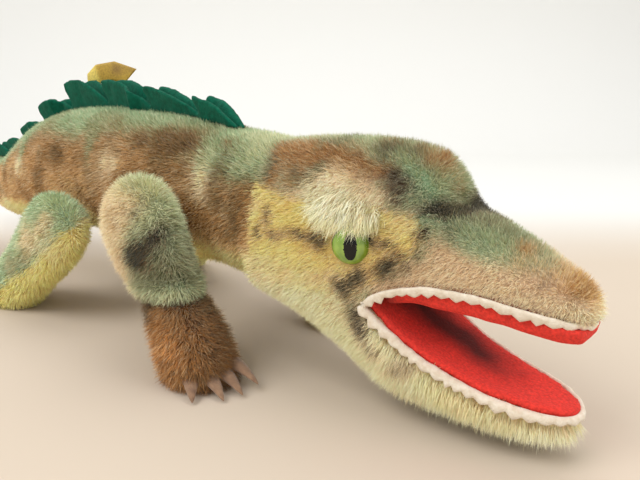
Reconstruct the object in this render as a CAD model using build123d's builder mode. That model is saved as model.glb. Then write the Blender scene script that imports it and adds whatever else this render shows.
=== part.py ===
from build123d import *
import math
import os

# Stuffed mohair reptile with an open felt-lined mouth, a felt crest and four
# disc-jointed legs.  +X points to the snout, +Y to the toy's left and +Z up.
# The soles stand on Z = 0 and the origin is under the middle of the whole toy.

# ---------------------------------------------------------------- dimensions
SKIN = 3.5                # mohair backing plus half of its pile
FELT = 1.5                # thickness of the mouth, tooth and crest felt
SETTLE = 0.15             # room between a skin or felt and what lies behind it
CORE_SHARE = 0.45         # most of a slim section that the skin may take

NECK_X = 178.0            # seam between the body panels and the head panels
MOUTH_CORNER_X = 241.0    # hinge-like fold where the two lips meet
BROW_FRONT_X = 262.0      # seam between the crown and the snout
CHEEK_TOP_Z = 78.0        # seam between the crown and the two face panels
BELLY_SEAM_Z = 51.0       # seam between the flanks and the belly gusset
BELLY_REAR_X = -62.0

SHOULDER_X, SHOULDER_Z = 141.0, 60.0
HIP_X, HIP_Z = 50.0, 52.0
DISC_RADIUS, DISC_THICK = 6.5, 2.0
WASHER_RADIUS, WASHER_THICK = 5.0, 1.0
PIN_RADIUS = 1.5
PIN_CLEARANCE = 0.08
PIN_HEAD_RADIUS, PIN_HEAD_THICK = 3.0, 1.5
PIN_REACH = 2.6           # how far a pin's bent end stands past the leg washer
PIN_END_ROOM = 0.4        # room in the stuffing round a pin's bent end
BODY_DISC_Y = 12.0        # inner face of the discs inside the body
LEG_DISC_Y = 45.0         # inner face of the discs inside the legs
PIN_HEAD_Y = BODY_DISC_Y - WASHER_THICK
LEG_WASHER_Y = LEG_DISC_Y + DISC_THICK
PIN_END_Y = LEG_WASHER_Y + WASHER_THICK + PIN_REACH

EYE_RADIUS, EYE_DOME = 7.0, 3.6
DOME_SHOULDER = (0.75, 0.62)   # share of the dome's height, share of its radius
DOME_CROWN = 0.2          # share of the radius at the dome's top
EYE_X, EYE_Y, EYE_Z = 233.0, 22.0, 64.0
EYE_TURN = 32.0           # each eye faces forward of straight out, degrees
EYE_FLANGE = 2.0          # straight rim of an eye, sunk in the face
EYE_CLEAR = 14.0          # depth of the cut that keeps the skin off an eye
SHANK_LENGTH, SHANK_RADIUS = 9.0, 0.6

TOOTH_HEIGHT = 3.6        # upper strip, from the lip to the points' tips
TOOTH_PITCH = 4.2
TOOTH_POINT = 1.8         # depth of one tooth point
TOOTH_FELT = 1.2
LOWER_TOOTH_REACH = 3.4   # width of the lower strip inside its points
UPPER_TEETH_X, LOWER_TEETH_X = 248.0, 246.0
UPPER_TEETH_FRONT_X = 304.0    # the front of the upper strip has no points
POINT_GAP = 0.42          # half width of the cut between two points, in pitches
POINT_OVERCUT = 1.0
LIP_STEP = 2.0            # a lip station closer than this to a start is passed over
LIP_OVERRUN = 6.0         # a band along a lip runs this far past the nose
NOSE_ROUND = 1.5          # middle of a tooth strip ahead of the last lip station
LINING_TUCK = 4.0         # the jaw lining reaches this far behind the mouth corner
PALATE_EDGE = 1.8         # the palate stops this far inside the lip
CLAW_LENGTH, CLAW_RADIUS, CLAW_TIP = 18.0, 3.5, 0.5
CLAW_ROOT = (5.0, 4.0)    # a claw starts this far inside the foot's front and side
CLAW_DROOP = 4.0          # degrees
CLAW_LIFT = 0.6
CREST_GAP = 1.6           # between the two rows of the crest
TAG_HEIGHT, TAG_THICK = 13.0, 0.8
TAG_STEM = 13.0           # strip that holds the tag over the back line
TAG_STEM_WIDTH = 4.0
TAG_ROOT_LIFT = 1.0       # the strip starts this far over the back line
# Plan of the folded tag: x and y of its short end, its fold and its long end
TAG_PLAN = ((-1.0, 8.5), (8.0, 4.0), (28.0, 22.0))

CUT_HALF = 80.0           # half width of every cutting block, past both sides
CUT_TOP_Z = 120.0         # over the head
CUT_FRONT_X = 330.0       # in front of the nose

# Body and tail, one upright oval per station: x, centre z, half width, half height
TORSO = [
    (-314.5, 104.0, 3.2, 3.2),
    (-285.0, 96.5, 6.0, 6.0),
    (-255.0, 86.0, 9.0, 9.0),
    (-222.0, 73.0, 12.0, 12.0),
    (-188.0, 61.0, 14.5, 14.5),
    (-155.0, 53.5, 17.0, 17.0),
    (-122.0, 52.0, 20.0, 20.0),
    (-90.0, 56.0, 24.5, 25.0),
    (-60.0, 62.5, 29.0, 30.0),
    (-30.0, 69.0, 33.0, 34.0),
    (5.0, 73.0, 35.0, 35.5),
    (45.0, 74.0, 35.3, 35.5),
    (85.0, 73.5, 35.0, 34.5),
    (120.0, 72.0, 34.0, 33.5),
    (148.0, 70.0, 31.5, 31.5),
    (NECK_X, 67.0, 27.5, 30.5),
]

# Upper head, flat underneath: x, half width, lip z, top z
UPPER_HEAD = [
    (NECK_X, 27.5, 44.5, 97.5),
    (200.0, 28.0, 44.5, 99.5),
    (222.0, 26.5, 44.5, 100.5),
    (MOUTH_CORNER_X, 24.0, 44.8, 100.0),
    (254.0, 22.0, 51.5, 97.5),
    (262.0, 20.6, 53.2, 89.0),
    (269.0, 19.6, 53.8, 80.0),
    (280.0, 18.0, 53.6, 74.5),
    (292.0, 16.0, 52.0, 69.0),
    (302.0, 13.0, 50.0, 63.5),
    (309.0, 9.0, 48.2, 58.5),
    (313.0, 4.5, 47.2, 54.0),
]

# Lower jaw and throat, flat on top: x, half width, lip z, bottom z
LOWER_HEAD = [
    (NECK_X, 27.5, 44.5, 36.5),
    (200.0, 28.0, 44.5, 30.0),
    (222.0, 26.2, 44.5, 18.0),
    (234.0, 24.6, 44.3, 11.5),
    (MOUTH_CORNER_X, 23.6, 42.6, 9.0),
    (250.0, 22.0, 34.5, 8.0),
    (259.0, 20.5, 29.0, 7.5),
    (270.0, 18.8, 24.5, 7.5),
    (284.0, 17.0, 20.8, 7.5),
    (298.0, 13.5, 18.6, 8.0),
    (306.0, 9.0, 17.2, 9.5),
    (310.0, 4.0, 16.6, 12.0),
]

# Padded palate, hanging under the upper lip: x, depth
PALATE = [
    (247.0, 2.0), (254.0, 3.4), (262.0, 4.6), (280.0, 5.4),
    (292.0, 5.2), (302.0, 4.6), (308.0, 3.2),
]

# Front leg: z, centre x, centre y, half length, half thickness
FRONT_LEG = [
    (81.0, 139.0, 47.5, 6.0, 4.0),
    (77.5, 138.5, 48.0, 13.0, 8.0),
    (70.0, 138.5, 48.5, 19.0, 11.6),
    (60.0, 141.0, 49.0, 21.5, 13.0),
    (48.0, 147.5, 48.5, 19.5, 13.0),
    (36.0, 156.0, 47.0, 15.5, 12.4),
    (29.0, 160.0, 46.0, 13.6, 11.8),
    (20.0, 164.5, 45.2, 14.4, 13.0),
    (10.0, 168.5, 44.4, 15.2, 13.8),
    (3.0, 169.5, 44.0, 15.0, 13.6),
    (0.0, 169.5, 44.0, 13.2, 12.0),
]

# Hind leg, stretched backwards: z, centre x, centre y, half length, half thickness
HIND_LEG = [
    (66.0, 50.0, 47.0, 6.0, 4.0),
    (63.0, 51.0, 47.5, 15.0, 8.0),
    (56.0, 53.0, 48.0, 24.0, 11.6),
    (46.0, 50.0, 49.0, 30.0, 13.0),
    (34.0, 40.0, 51.0, 31.0, 13.2),
    (22.0, 26.0, 53.5, 30.0, 13.6),
    (11.0, 12.0, 56.0, 29.0, 14.4),
    (4.0, 3.0, 57.5, 27.5, 14.4),
    (0.0, 0.0, 58.0, 24.0, 12.5),
]

# Crest lobes: x of the backward-leaning tip, height over the back
LOBES = [
    (118.0, 13.0), (76.0, 13.5), (32.0, 15.5), (-12.0, 18.0), (-54.0, 15.0),
    (-90.0, 13.0), (-122.0, 11.5), (-151.0, 10.5), (-178.0, 9.5), (-204.0, 8.5),
    (-228.0, 7.5), (-250.0, 6.5), (-270.0, 5.5),
]
CREST_FRONT_X = 146.0
CREST_ROOT = 7.0          # how far a lobe's outline starts under the back line
LOBE_START = (3.0, -1.0)  # a lobe's front end, ahead of its start and over the back
# Points of a lobe's outline: share of its length from the front, share of its height
LOBE_BROW = (0.22, 0.50)
LOBE_CROWN = (0.66, 0.95)
LOBE_BACK = (0.5, 0.80)   # mm behind the tip, share of the height
LOBE_NOTCH = (3.0, 0.30)  # mm ahead of the tip, share of the height
LOBE_VALLEY = (1.0, 1.2)  # mm behind the tip, mm over the back

SIDES = {"left": 1, "right": -1}
OVAL_POWER = 2.2
DOME_POWER = 2.5
RING_POINTS = 12          # points round a closed section
ARCH_SPANS = 8            # spans over a dome section
LEG_SEAM_STATION = 3      # the panels of a leg part at this station's middle


# ---------------------------------------------------------------- outlines
def along(stations, x, column):
    """Value of one station column at x, between the two nearest stations."""
    for low, high in zip(stations, stations[1:]):
        if x <= high[0]:
            share = max(0.0, (x - low[0]) / (high[0] - low[0]))
            return low[column] + share * (high[column] - low[column])
    return stations[-1][column]


def rounded(value, power):
    """Signed power that turns a circle's coordinate into a fuller oval's."""
    return math.copysign(abs(value) ** (2 / power), value)


def oval_points(half_width, half_height, centre_z):
    """Points round an upright oval, starting at its +Y side."""
    turns = [2 * math.pi * i / RING_POINTS for i in range(RING_POINTS)]
    return [
        (half_width * rounded(math.cos(t), OVAL_POWER),
         centre_z + half_height * rounded(math.sin(t), OVAL_POWER))
        for t in turns
    ]


def dome_points(half_width, base_z, tip_z):
    """Points over a dome from its +Y edge to its -Y edge."""
    turns = [math.pi * i / ARCH_SPANS for i in range(ARCH_SPANS + 1)]
    return [
        (half_width * rounded(math.cos(t), DOME_POWER),
         base_z + (tip_z - base_z) * rounded(math.sin(t), DOME_POWER))
        for t in turns
    ]


# ---------------------------------------------------------------- forms
def drawn_in(inset, size):
    """Inset of a section, less where the section is too slim for a full skin."""
    return inset * min(1.0, CORE_SHARE * size / SKIN)


def torso_form(inset):
    """Body and tail, drawn in by inset on every side but the neck."""
    with BuildPart() as form:
        for x, centre_z, half_width, half_height in TORSO:
            pull = drawn_in(inset, half_width)
            shift = pull if x == TORSO[0][0] else 0.0
            with BuildSketch(Plane.YZ.offset(x + shift)):
                with BuildLine():
                    ring = oval_points(half_width - pull, half_height - pull, centre_z)
                    Spline(*ring, periodic=True)
                make_face()
        loft(ruled=True)
    return form.part


def dome_form(stations, inset):
    """Half of the head, flat at its lips; its nose end is drawn in by inset."""
    with BuildPart() as form:
        for x, half_width, lip_z, tip_z in stations:
            rise = math.copysign(1.0, tip_z - lip_z)
            pull = drawn_in(inset, min(half_width, abs(tip_z - lip_z)))
            shift = -pull if x == stations[-1][0] else 0.0
            with BuildSketch(Plane.YZ.offset(x + shift)):
                with BuildLine():
                    arch = dome_points(half_width - pull, lip_z, tip_z - rise * pull)
                    Spline(*arch)
                    Line(arch[-1], arch[0])
                make_face()
        loft(ruled=True)
    return form.part


def leg_form(stations, side, inset):
    """One leg, drawn in by inset, with a flat sole."""
    top_z, sole_z = stations[0][0], stations[-1][0]
    turns = [2 * math.pi * i / RING_POINTS for i in range(RING_POINTS)]
    with BuildPart() as form:
        for z, centre_x, centre_y, half_length, half_thick in stations:
            pull = drawn_in(inset, half_thick)
            shift = {top_z: -inset, sole_z: inset}.get(z, 0.0)
            with BuildSketch(Plane.XY.offset(z + shift)):
                with BuildLine():
                    ring = [
                        (centre_x + (half_length - pull) * math.cos(turn),
                         side * centre_y + (half_thick - pull) * math.sin(turn))
                        for turn in turns
                    ]
                    Spline(*ring, periodic=True)
                make_face()
        loft(ruled=True)
    return form.part


def cross_bar(radius, x, z, y_start, y_end):
    """Round bar along Y at (x, z)."""
    with BuildPart() as bar:
        with BuildSketch(Plane.XZ.offset(-y_start)):
            with Locations((x, z)):
                Circle(radius)
        extrude(amount=-(y_end - y_start))
    return bar.part


def zone(x_low, x_high, z_low, z_high):
    """Block across the whole width, used to cut panels along their seams."""
    with BuildPart() as block:
        with BuildSketch(Plane.XZ):
            with Locations(((x_low + x_high) / 2, (z_low + z_high) / 2)):
                Rectangle(x_high - x_low, z_high - z_low)
        extrude(amount=CUT_HALF, both=True)
    return block.part


def joint_places():
    """x, z and side of the four leg joints."""
    return [
        (x, z, side)
        for x, z in ((SHOULDER_X, SHOULDER_Z), (HIP_X, HIP_Z))
        for side in SIDES.values()
    ]


def pin_bore(radius, x, z, side):
    """Bar through everything that a leg's pin passes, from its head to its end."""
    return cross_bar(radius, x, z, side * PIN_HEAD_Y, side * PIN_END_Y)


def write(part, label):
    """Label a finished piece and write it as its own STEP file."""
    part.label = label
    export_step(part, f"parts/{label}.step")


os.makedirs("parts", exist_ok=True)

torso_outer = torso_form(0.0)
torso_inner = torso_form(SKIN)
upper_outer = dome_form(UPPER_HEAD, 0.0)
upper_inner = dome_form(UPPER_HEAD, SKIN)
lower_outer = dome_form(LOWER_HEAD, 0.0)
lower_inner = dome_form(LOWER_HEAD, SKIN)

belly_zone = zone(BELLY_REAR_X, NECK_X, 0.0, BELLY_SEAM_Z)
mouth_zone = zone(MOUTH_CORNER_X - LINING_TUCK, CUT_FRONT_X, 0.0, CUT_TOP_Z)

# ---------------------------------------------------------------- eyes
eyes = {}
eye_seats = {}
shanks = []
for name, side in SIDES.items():
    outward = Plane(
        origin=(EYE_X, side * EYE_Y, EYE_Z),
        x_dir=(0, 0, 1),
        z_dir=(
            math.sin(math.radians(EYE_TURN)),
            side * math.cos(math.radians(EYE_TURN)),
            0,
        ),
    )
    with BuildPart() as eye:
        with BuildSketch(outward.offset(-EYE_FLANGE)):
            Circle(EYE_RADIUS)
        extrude(amount=EYE_FLANGE)
        with BuildSketch(outward):
            Circle(EYE_RADIUS)
        with BuildSketch(outward.offset(DOME_SHOULDER[0] * EYE_DOME)):
            Circle(DOME_SHOULDER[1] * EYE_RADIUS)
        with BuildSketch(outward.offset(EYE_DOME)):
            Circle(DOME_CROWN * EYE_RADIUS)
        loft()
    eyes[name] = eye.part
    with BuildPart() as seat:
        with BuildSketch(outward.offset(-EYE_FLANGE)):
            Circle(EYE_RADIUS)
        extrude(amount=EYE_CLEAR)
        with BuildSketch(outward.offset(-EYE_FLANGE)):
            Circle(SHANK_RADIUS)
        extrude(amount=-SHANK_LENGTH)
    eye_seats[name] = seat.part
    with BuildPart() as shank:
        with BuildSketch(outward.offset(-EYE_FLANGE)):
            Circle(SHANK_RADIUS)
        extrude(amount=-SHANK_LENGTH)
    shanks.append(shank.part)
    write(eyes[name], f"eye_{name}")

with BuildPart() as eye_shanks:
    for shank_part in shanks:
        add(shank_part)
write(eye_shanks.part, "eye_shanks")

# ---------------------------------------------------------------- leg joints
# Each leg turns on a cotter pin that holds a hardboard disc in the leg
# against a hardboard disc in the body.
with BuildPart() as body_discs:
    for x, z, side in joint_places():
        add(cross_bar(DISC_RADIUS, x, z, side * BODY_DISC_Y, side * (BODY_DISC_Y + DISC_THICK)))
        add(pin_bore(PIN_RADIUS, x, z, side), mode=Mode.SUBTRACT)
write(body_discs.part, "body_joint_discs")

with BuildPart() as body_washers:
    for x, z, side in joint_places():
        add(cross_bar(
            WASHER_RADIUS, x, z,
            side * (BODY_DISC_Y - WASHER_THICK), side * BODY_DISC_Y,
        ))
        add(pin_bore(PIN_RADIUS, x, z, side), mode=Mode.SUBTRACT)
write(body_washers.part, "body_joint_washers")

with BuildPart() as cotter_pins:
    for x, z, side in joint_places():
        add(cross_bar(PIN_RADIUS, x, z, side * PIN_HEAD_Y, side * PIN_END_Y))
        for end_y in (PIN_HEAD_Y, PIN_END_Y):
            add(cross_bar(
                PIN_HEAD_RADIUS, x, z, side * (end_y - PIN_HEAD_THICK), side * end_y,
            ))
write(cotter_pins.part, "cotter_pins")

with BuildPart() as joint_hollows:
    for x, z, side in joint_places():
        add(cross_bar(DISC_RADIUS, x, z, side * BODY_DISC_Y, side * (BODY_DISC_Y + DISC_THICK)))
        add(cross_bar(
            WASHER_RADIUS, x, z, side * (PIN_HEAD_Y - PIN_HEAD_THICK), side * BODY_DISC_Y,
        ))
        add(pin_bore(PIN_RADIUS, x, z, side))

# ---------------------------------------------------------------- body
with BuildPart() as body_stuffing:
    add(torso_form(SKIN + SETTLE))
    add(joint_hollows.part, mode=Mode.SUBTRACT)
write(body_stuffing.part, "body_stuffing")

with BuildPart() as torso_shell:
    add(torso_outer)
    add(torso_inner, mode=Mode.SUBTRACT)
    for x, z, side in joint_places():
        add(pin_bore(PIN_RADIUS, x, z, side), mode=Mode.SUBTRACT)

for name, keep in (("left", Keep.BOTTOM), ("right", Keep.TOP)):
    with BuildPart() as back_skin:
        add(torso_shell.part)
        add(belly_zone, mode=Mode.SUBTRACT)
        split(bisect_by=Plane.XZ, keep=keep)
    write(back_skin.part, f"back_skin_{name}")

with BuildPart() as belly_gusset:
    add(torso_shell.part)
    add(belly_zone, mode=Mode.INTERSECT)
write(belly_gusset.part, "belly_gusset")

# ---------------------------------------------------------------- upper head
with BuildPart() as head_stuffing:
    add(dome_form(UPPER_HEAD, SKIN + SETTLE))
    for seat_part in eye_seats.values():
        add(seat_part, mode=Mode.SUBTRACT)
write(head_stuffing.part, "head_stuffing")

with BuildPart() as upper_shell:
    add(upper_outer)
    add(upper_inner, mode=Mode.SUBTRACT)
    for seat_part in eye_seats.values():
        add(seat_part, mode=Mode.SUBTRACT)

with BuildPart() as crown_skin:
    add(upper_shell.part)
    add(zone(NECK_X, BROW_FRONT_X, CHEEK_TOP_Z, CUT_TOP_Z), mode=Mode.INTERSECT)
write(crown_skin.part, "crown_skin")

with BuildPart() as snout_skin:
    add(upper_shell.part)
    add(zone(BROW_FRONT_X, CUT_FRONT_X, 0.0, CUT_TOP_Z), mode=Mode.INTERSECT)
write(snout_skin.part, "snout_skin")

for name, keep in (("left", Keep.BOTTOM), ("right", Keep.TOP)):
    with BuildPart() as face_skin:
        add(upper_shell.part)
        add(zone(NECK_X, BROW_FRONT_X, 0.0, CHEEK_TOP_Z), mode=Mode.INTERSECT)
        split(bisect_by=Plane.XZ, keep=keep)
    write(face_skin.part, f"face_skin_{name}")

# The red palate is felt over its own padding.
palate_stations = [
    (x, along(UPPER_HEAD, x, 1) - PALATE_EDGE,
     along(UPPER_HEAD, x, 2) - SETTLE, along(UPPER_HEAD, x, 2) - SETTLE - depth)
    for x, depth in PALATE
]
write(dome_form(palate_stations, 0.0), "palate_lining")

# ---------------------------------------------------------------- lower jaw
def lip_band(stations, x_start, low, high):
    """Solid across the width between two curves that follow a lip."""
    xs = [x_start] + [s[0] for s in stations if s[0] > x_start + LIP_STEP]
    xs.append(stations[-1][0] + LIP_OVERRUN)
    with BuildPart() as band:
        with BuildSketch(Plane.XZ):
            with BuildLine():
                lower = [(x, along(stations, x, 2) + low) for x in xs]
                upper = [(x, along(stations, x, 2) + high) for x in xs]
                Polyline(*lower, *reversed(upper), close=True)
            make_face()
        extrude(amount=CUT_HALF, both=True)
    return band.part


with BuildPart() as jaw_lining:
    add(dome_form(LOWER_HEAD, SKIN + SETTLE))
    add(lip_band(LOWER_HEAD, NECK_X, -FELT, FELT), mode=Mode.INTERSECT)
    add(mouth_zone, mode=Mode.INTERSECT)
write(jaw_lining.part, "jaw_lining")

with BuildPart() as jaw_stuffing:
    add(dome_form(LOWER_HEAD, SKIN + SETTLE))
    add(lip_band(LOWER_HEAD, NECK_X, -FELT - SETTLE, FELT), mode=Mode.SUBTRACT)
write(jaw_stuffing.part, "jaw_stuffing")

with BuildPart() as jaw_skin:
    add(lower_outer)
    add(lower_inner, mode=Mode.SUBTRACT)
write(jaw_skin.part, "jaw_skin")


# ---------------------------------------------------------------- teeth
def lip_outline(stations, x_start, reach):
    """Plan points of a lip from its right corner round the nose to its left."""
    inner = [s for s in stations if s[0] > x_start + LIP_STEP]
    edge = [(x_start, along(stations, x_start, 1))] + [(s[0], s[1]) for s in inner]
    edge = [(x, w + reach) for x, w in edge]
    nose = (stations[-1][0] + reach + NOSE_ROUND, 0.0)
    return [(x, -w) for x, w in edge] + [nose] + [(x, w) for x, w in reversed(edge)]


def zigzag(points, step):
    """The same outline with a tooth point between every two even steps."""
    with BuildLine() as edge:
        Polyline(*points)
    path = edge.wire()
    count = int(path.length / step)
    teeth = []
    for i in range(count + 1):
        foot = path @ (i / count)
        teeth.append((foot.X, foot.Y))
        if i < count:
            share = (i + 0.5) / count
            tip = path @ share
            along_path = path % share
            teeth.append((
                tip.X + TOOTH_POINT * along_path.Y,
                tip.Y - TOOTH_POINT * along_path.X,
            ))
    return teeth


def tooth_ring(outer_points, inner_points, z_low, z_high):
    """Upright horseshoe of felt between two plan outlines."""
    with BuildPart() as ring:
        with BuildSketch(Plane.XY.offset(z_low)):
            with BuildLine():
                Polyline(*outer_points, *reversed(inner_points), close=True)
            make_face()
        extrude(amount=z_high - z_low)
    return ring.part


with BuildPart() as upper_teeth:
    add(tooth_ring(
        lip_outline(UPPER_HEAD, UPPER_TEETH_X, 0.0),
        lip_outline(UPPER_HEAD, UPPER_TEETH_X, -TOOTH_FELT),
        0.0, CUT_TOP_Z,
    ))
    add(
        lip_band(UPPER_HEAD, UPPER_TEETH_X, -TOOTH_HEIGHT - SETTLE, -SETTLE),
        mode=Mode.INTERSECT,
    )
    notch_xs = [
        UPPER_TEETH_X + TOOTH_PITCH * (i + 0.5)
        for i in range(int((UPPER_TEETH_FRONT_X - UPPER_TEETH_X) / TOOTH_PITCH))
    ]
    for x in notch_xs:
        with BuildSketch(Plane.XZ):
            with BuildLine():
                edge_z = along(UPPER_HEAD, x, 2) - TOOTH_HEIGHT
                half = POINT_GAP * TOOTH_PITCH
                Polyline(
                    (x - half, edge_z - POINT_OVERCUT), (x, edge_z + TOOTH_POINT),
                    (x + half, edge_z - POINT_OVERCUT), close=True,
                )
            make_face()
        extrude(amount=CUT_HALF, both=True, mode=Mode.SUBTRACT)
write(upper_teeth.part, "upper_teeth")

lower_points = zigzag(lip_outline(LOWER_HEAD, LOWER_TEETH_X, 0.0), TOOTH_PITCH)
with BuildPart() as lower_teeth:
    add(tooth_ring(
        lower_points,
        lip_outline(LOWER_HEAD, LOWER_TEETH_X, -LOWER_TOOTH_REACH),
        0.0, CUT_TOP_Z,
    ))
    add(
        lip_band(LOWER_HEAD, LOWER_TEETH_X, SETTLE, SETTLE + TOOTH_FELT),
        mode=Mode.INTERSECT,
    )
write(lower_teeth.part, "lower_teeth")


# ---------------------------------------------------------------- crest
def back_line(x):
    """Height of the back over the middle of the body at x."""
    return along(TORSO, x, 1) + along(TORSO, x, 3)


def lobe_outline(front_x, tip_x, height):
    """Front edge and the rest of one backward-leaning lobe, ending at its start."""
    def at(x, rise):
        return (x, back_line(x) + rise)

    brow_x = front_x + LOBE_BROW[0] * (tip_x - front_x)
    crown_x = front_x + LOBE_CROWN[0] * (tip_x - front_x)
    start = at(front_x + LOBE_START[0], LOBE_START[1])
    tip = at(tip_x, height)
    front_edge = [
        start, at(brow_x, LOBE_BROW[1] * height), at(crown_x, LOBE_CROWN[1] * height), tip,
    ]
    rear_edge = [
        tip,
        at(tip_x - LOBE_BACK[0], LOBE_BACK[1] * height),
        at(tip_x + LOBE_NOTCH[0], LOBE_NOTCH[1] * height),
        at(tip_x - LOBE_VALLEY[0], LOBE_VALLEY[1]),
        at(tip_x - LOBE_VALLEY[0], -CREST_ROOT),
        at(front_x + LOBE_START[0], -CREST_ROOT),
        start,
    ]
    return front_edge, rear_edge


under_back = [(x, back_line(x) + SETTLE) for x, *_ in TORSO]
for name, side in SIDES.items():
    with BuildPart() as crest:
        with BuildSketch(Plane.XZ.offset(-side * CREST_GAP / 2)):
            front_x = CREST_FRONT_X
            for tip_x, height in LOBES:
                front_edge, rear_edge = lobe_outline(front_x, tip_x, height)
                with BuildLine():
                    Spline(*front_edge)
                    Polyline(*rear_edge)
                make_face()
                front_x = tip_x + LOBE_NOTCH[0]
            with BuildLine():
                Polyline(*under_back, (NECK_X, 0.0), (TORSO[0][0], 0.0), close=True)
            make_face(mode=Mode.SUBTRACT)
        extrude(amount=-side * FELT)
    write(crest.part, f"crest_{name}")

# ---------------------------------------------------------------- tag
# Blank label, folded once, standing against the left row of the crest.
(short_x, short_y), (fold_x, fold_y), (long_x, long_y) = TAG_PLAN
with BuildPart() as blank_tag:
    with BuildSketch(Plane.XY.offset(back_line(fold_x) + TAG_STEM)):
        with BuildLine():
            Polyline(
                (short_x, short_y), (fold_x, fold_y), (long_x, long_y),
                (long_x, long_y + TAG_THICK), (fold_x, fold_y + TAG_THICK),
                (short_x, short_y + TAG_THICK), close=True,
            )
        make_face()
    extrude(amount=TAG_HEIGHT)
    with BuildSketch(Plane.XY.offset(back_line(fold_x) + TAG_ROOT_LIFT)):
        with Locations((fold_x, fold_y)):
            Rectangle(TAG_STEM_WIDTH, 2 * TAG_THICK)
    extrude(amount=TAG_STEM)
write(blank_tag.part, "blank_tag")


# ---------------------------------------------------------------- legs
def claw(root_x, root_y, heading):
    """Tapered felt claw lying just over the floor, pointing along heading."""
    tilt = math.radians(CLAW_DROOP)
    pointing = Vector(
        math.cos(math.radians(heading)) * math.cos(tilt),
        math.sin(math.radians(heading)) * math.cos(tilt),
        -math.sin(tilt),
    )
    with BuildPart() as cone:
        with BuildSketch(Plane(origin=(root_x, root_y, CLAW_RADIUS + CLAW_LIFT), z_dir=pointing)):
            Circle(CLAW_RADIUS)
        extrude(amount=CLAW_LENGTH, taper=math.degrees(
            math.atan((CLAW_RADIUS - CLAW_TIP) / CLAW_LENGTH)))
    return cone.part


FRONT_CLAW_HEADINGS = (-22.0, 2.0, 24.0, 50.0)
HIND_CLAW_HEADINGS = (86.0, 110.0, 136.0, 174.0)
legs = (
    ("front", FRONT_LEG, SHOULDER_X, SHOULDER_Z, FRONT_CLAW_HEADINGS),
    ("hind", HIND_LEG, HIP_X, HIP_Z, HIND_CLAW_HEADINGS),
)
for place, stations, joint_x, joint_z, headings in legs:
    for name, side in SIDES.items():
        leg_outer = leg_form(stations, side, 0.0)
        leg_inner = leg_form(stations, side, SKIN)
        foot_x, foot_y = stations[-1][1], side * stations[-1][2]
        foot_length, foot_thick = stations[-2][3], stations[-2][4]
        pin_hole = pin_bore(PIN_RADIUS + PIN_CLEARANCE, joint_x, joint_z, side)
        pin_end_room = cross_bar(
            PIN_HEAD_RADIUS + PIN_END_ROOM, joint_x, joint_z,
            side * (LEG_WASHER_Y + WASHER_THICK), side * (PIN_END_Y + PIN_END_ROOM),
        )

        with BuildPart() as disc:
            add(cross_bar(
                DISC_RADIUS, joint_x, joint_z,
                side * LEG_DISC_Y, side * (LEG_DISC_Y + DISC_THICK),
            ))
            add(pin_hole, mode=Mode.SUBTRACT)
        write(disc.part, f"{place}_{name}_leg_disc")

        with BuildPart() as washer:
            add(cross_bar(
                WASHER_RADIUS, joint_x, joint_z,
                side * LEG_WASHER_Y, side * (LEG_WASHER_Y + WASHER_THICK),
            ))
            add(pin_hole, mode=Mode.SUBTRACT)
        write(washer.part, f"{place}_{name}_leg_washer")

        with BuildPart() as stuffing:
            add(leg_form(stations, side, SKIN + SETTLE))
            add(cross_bar(
                DISC_RADIUS, joint_x, joint_z,
                side * LEG_DISC_Y, side * (LEG_DISC_Y + DISC_THICK),
            ), mode=Mode.SUBTRACT)
            add(cross_bar(
                WASHER_RADIUS, joint_x, joint_z,
                side * LEG_WASHER_Y, side * (LEG_WASHER_Y + WASHER_THICK),
            ), mode=Mode.SUBTRACT)
            add(pin_hole, mode=Mode.SUBTRACT)
            add(pin_end_room, mode=Mode.SUBTRACT)
        write(stuffing.part, f"{place}_{name}_leg_stuffing")

        # The outer panel and the inner panel meet along the leg's middle.
        seam = Plane(
            origin=(joint_x, side * stations[LEG_SEAM_STATION][2], joint_z),
            z_dir=(0, side, 0),
        )
        for panel, keep in (("outer", Keep.TOP), ("inner", Keep.BOTTOM)):
            with BuildPart() as leg_skin:
                add(leg_outer)
                add(leg_inner, mode=Mode.SUBTRACT)
                add(pin_hole, mode=Mode.SUBTRACT)
                split(bisect_by=seam, keep=keep)
            write(leg_skin.part, f"{place}_{name}_leg_{panel}_skin")

        with BuildPart() as claws:
            for heading in headings:
                turn = math.radians(side * heading)
                add(claw(
                    foot_x + (foot_length - CLAW_ROOT[0]) * math.cos(turn),
                    foot_y + (foot_thick - CLAW_ROOT[1]) * math.sin(turn),
                    side * heading,
                ))
            add(leg_outer, mode=Mode.SUBTRACT)
        write(claws.part, f"{place}_{name}_claws")
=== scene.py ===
"""Stuffed mohair reptile with a felt-lined open mouth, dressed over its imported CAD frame."""
import math

import bpy
import numpy as np
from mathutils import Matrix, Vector


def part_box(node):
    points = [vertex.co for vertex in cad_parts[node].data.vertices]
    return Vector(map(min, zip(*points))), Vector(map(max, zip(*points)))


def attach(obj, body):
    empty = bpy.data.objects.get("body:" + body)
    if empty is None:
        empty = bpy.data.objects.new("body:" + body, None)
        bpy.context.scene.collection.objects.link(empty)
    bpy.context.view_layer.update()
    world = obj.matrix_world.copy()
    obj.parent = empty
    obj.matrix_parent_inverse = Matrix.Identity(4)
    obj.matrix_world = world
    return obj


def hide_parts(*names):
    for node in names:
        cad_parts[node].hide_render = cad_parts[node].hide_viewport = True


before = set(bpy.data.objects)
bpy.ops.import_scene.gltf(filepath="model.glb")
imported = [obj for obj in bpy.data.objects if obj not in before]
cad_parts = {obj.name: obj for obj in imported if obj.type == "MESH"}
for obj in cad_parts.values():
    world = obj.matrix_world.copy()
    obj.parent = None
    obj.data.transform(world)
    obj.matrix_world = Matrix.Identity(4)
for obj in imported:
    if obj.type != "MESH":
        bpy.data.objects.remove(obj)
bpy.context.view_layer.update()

MM = 0.001
LEGS = ("front_left", "front_right", "hind_left", "hind_right")
SIDES = {"left": 1.0, "right": -1.0}


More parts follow.
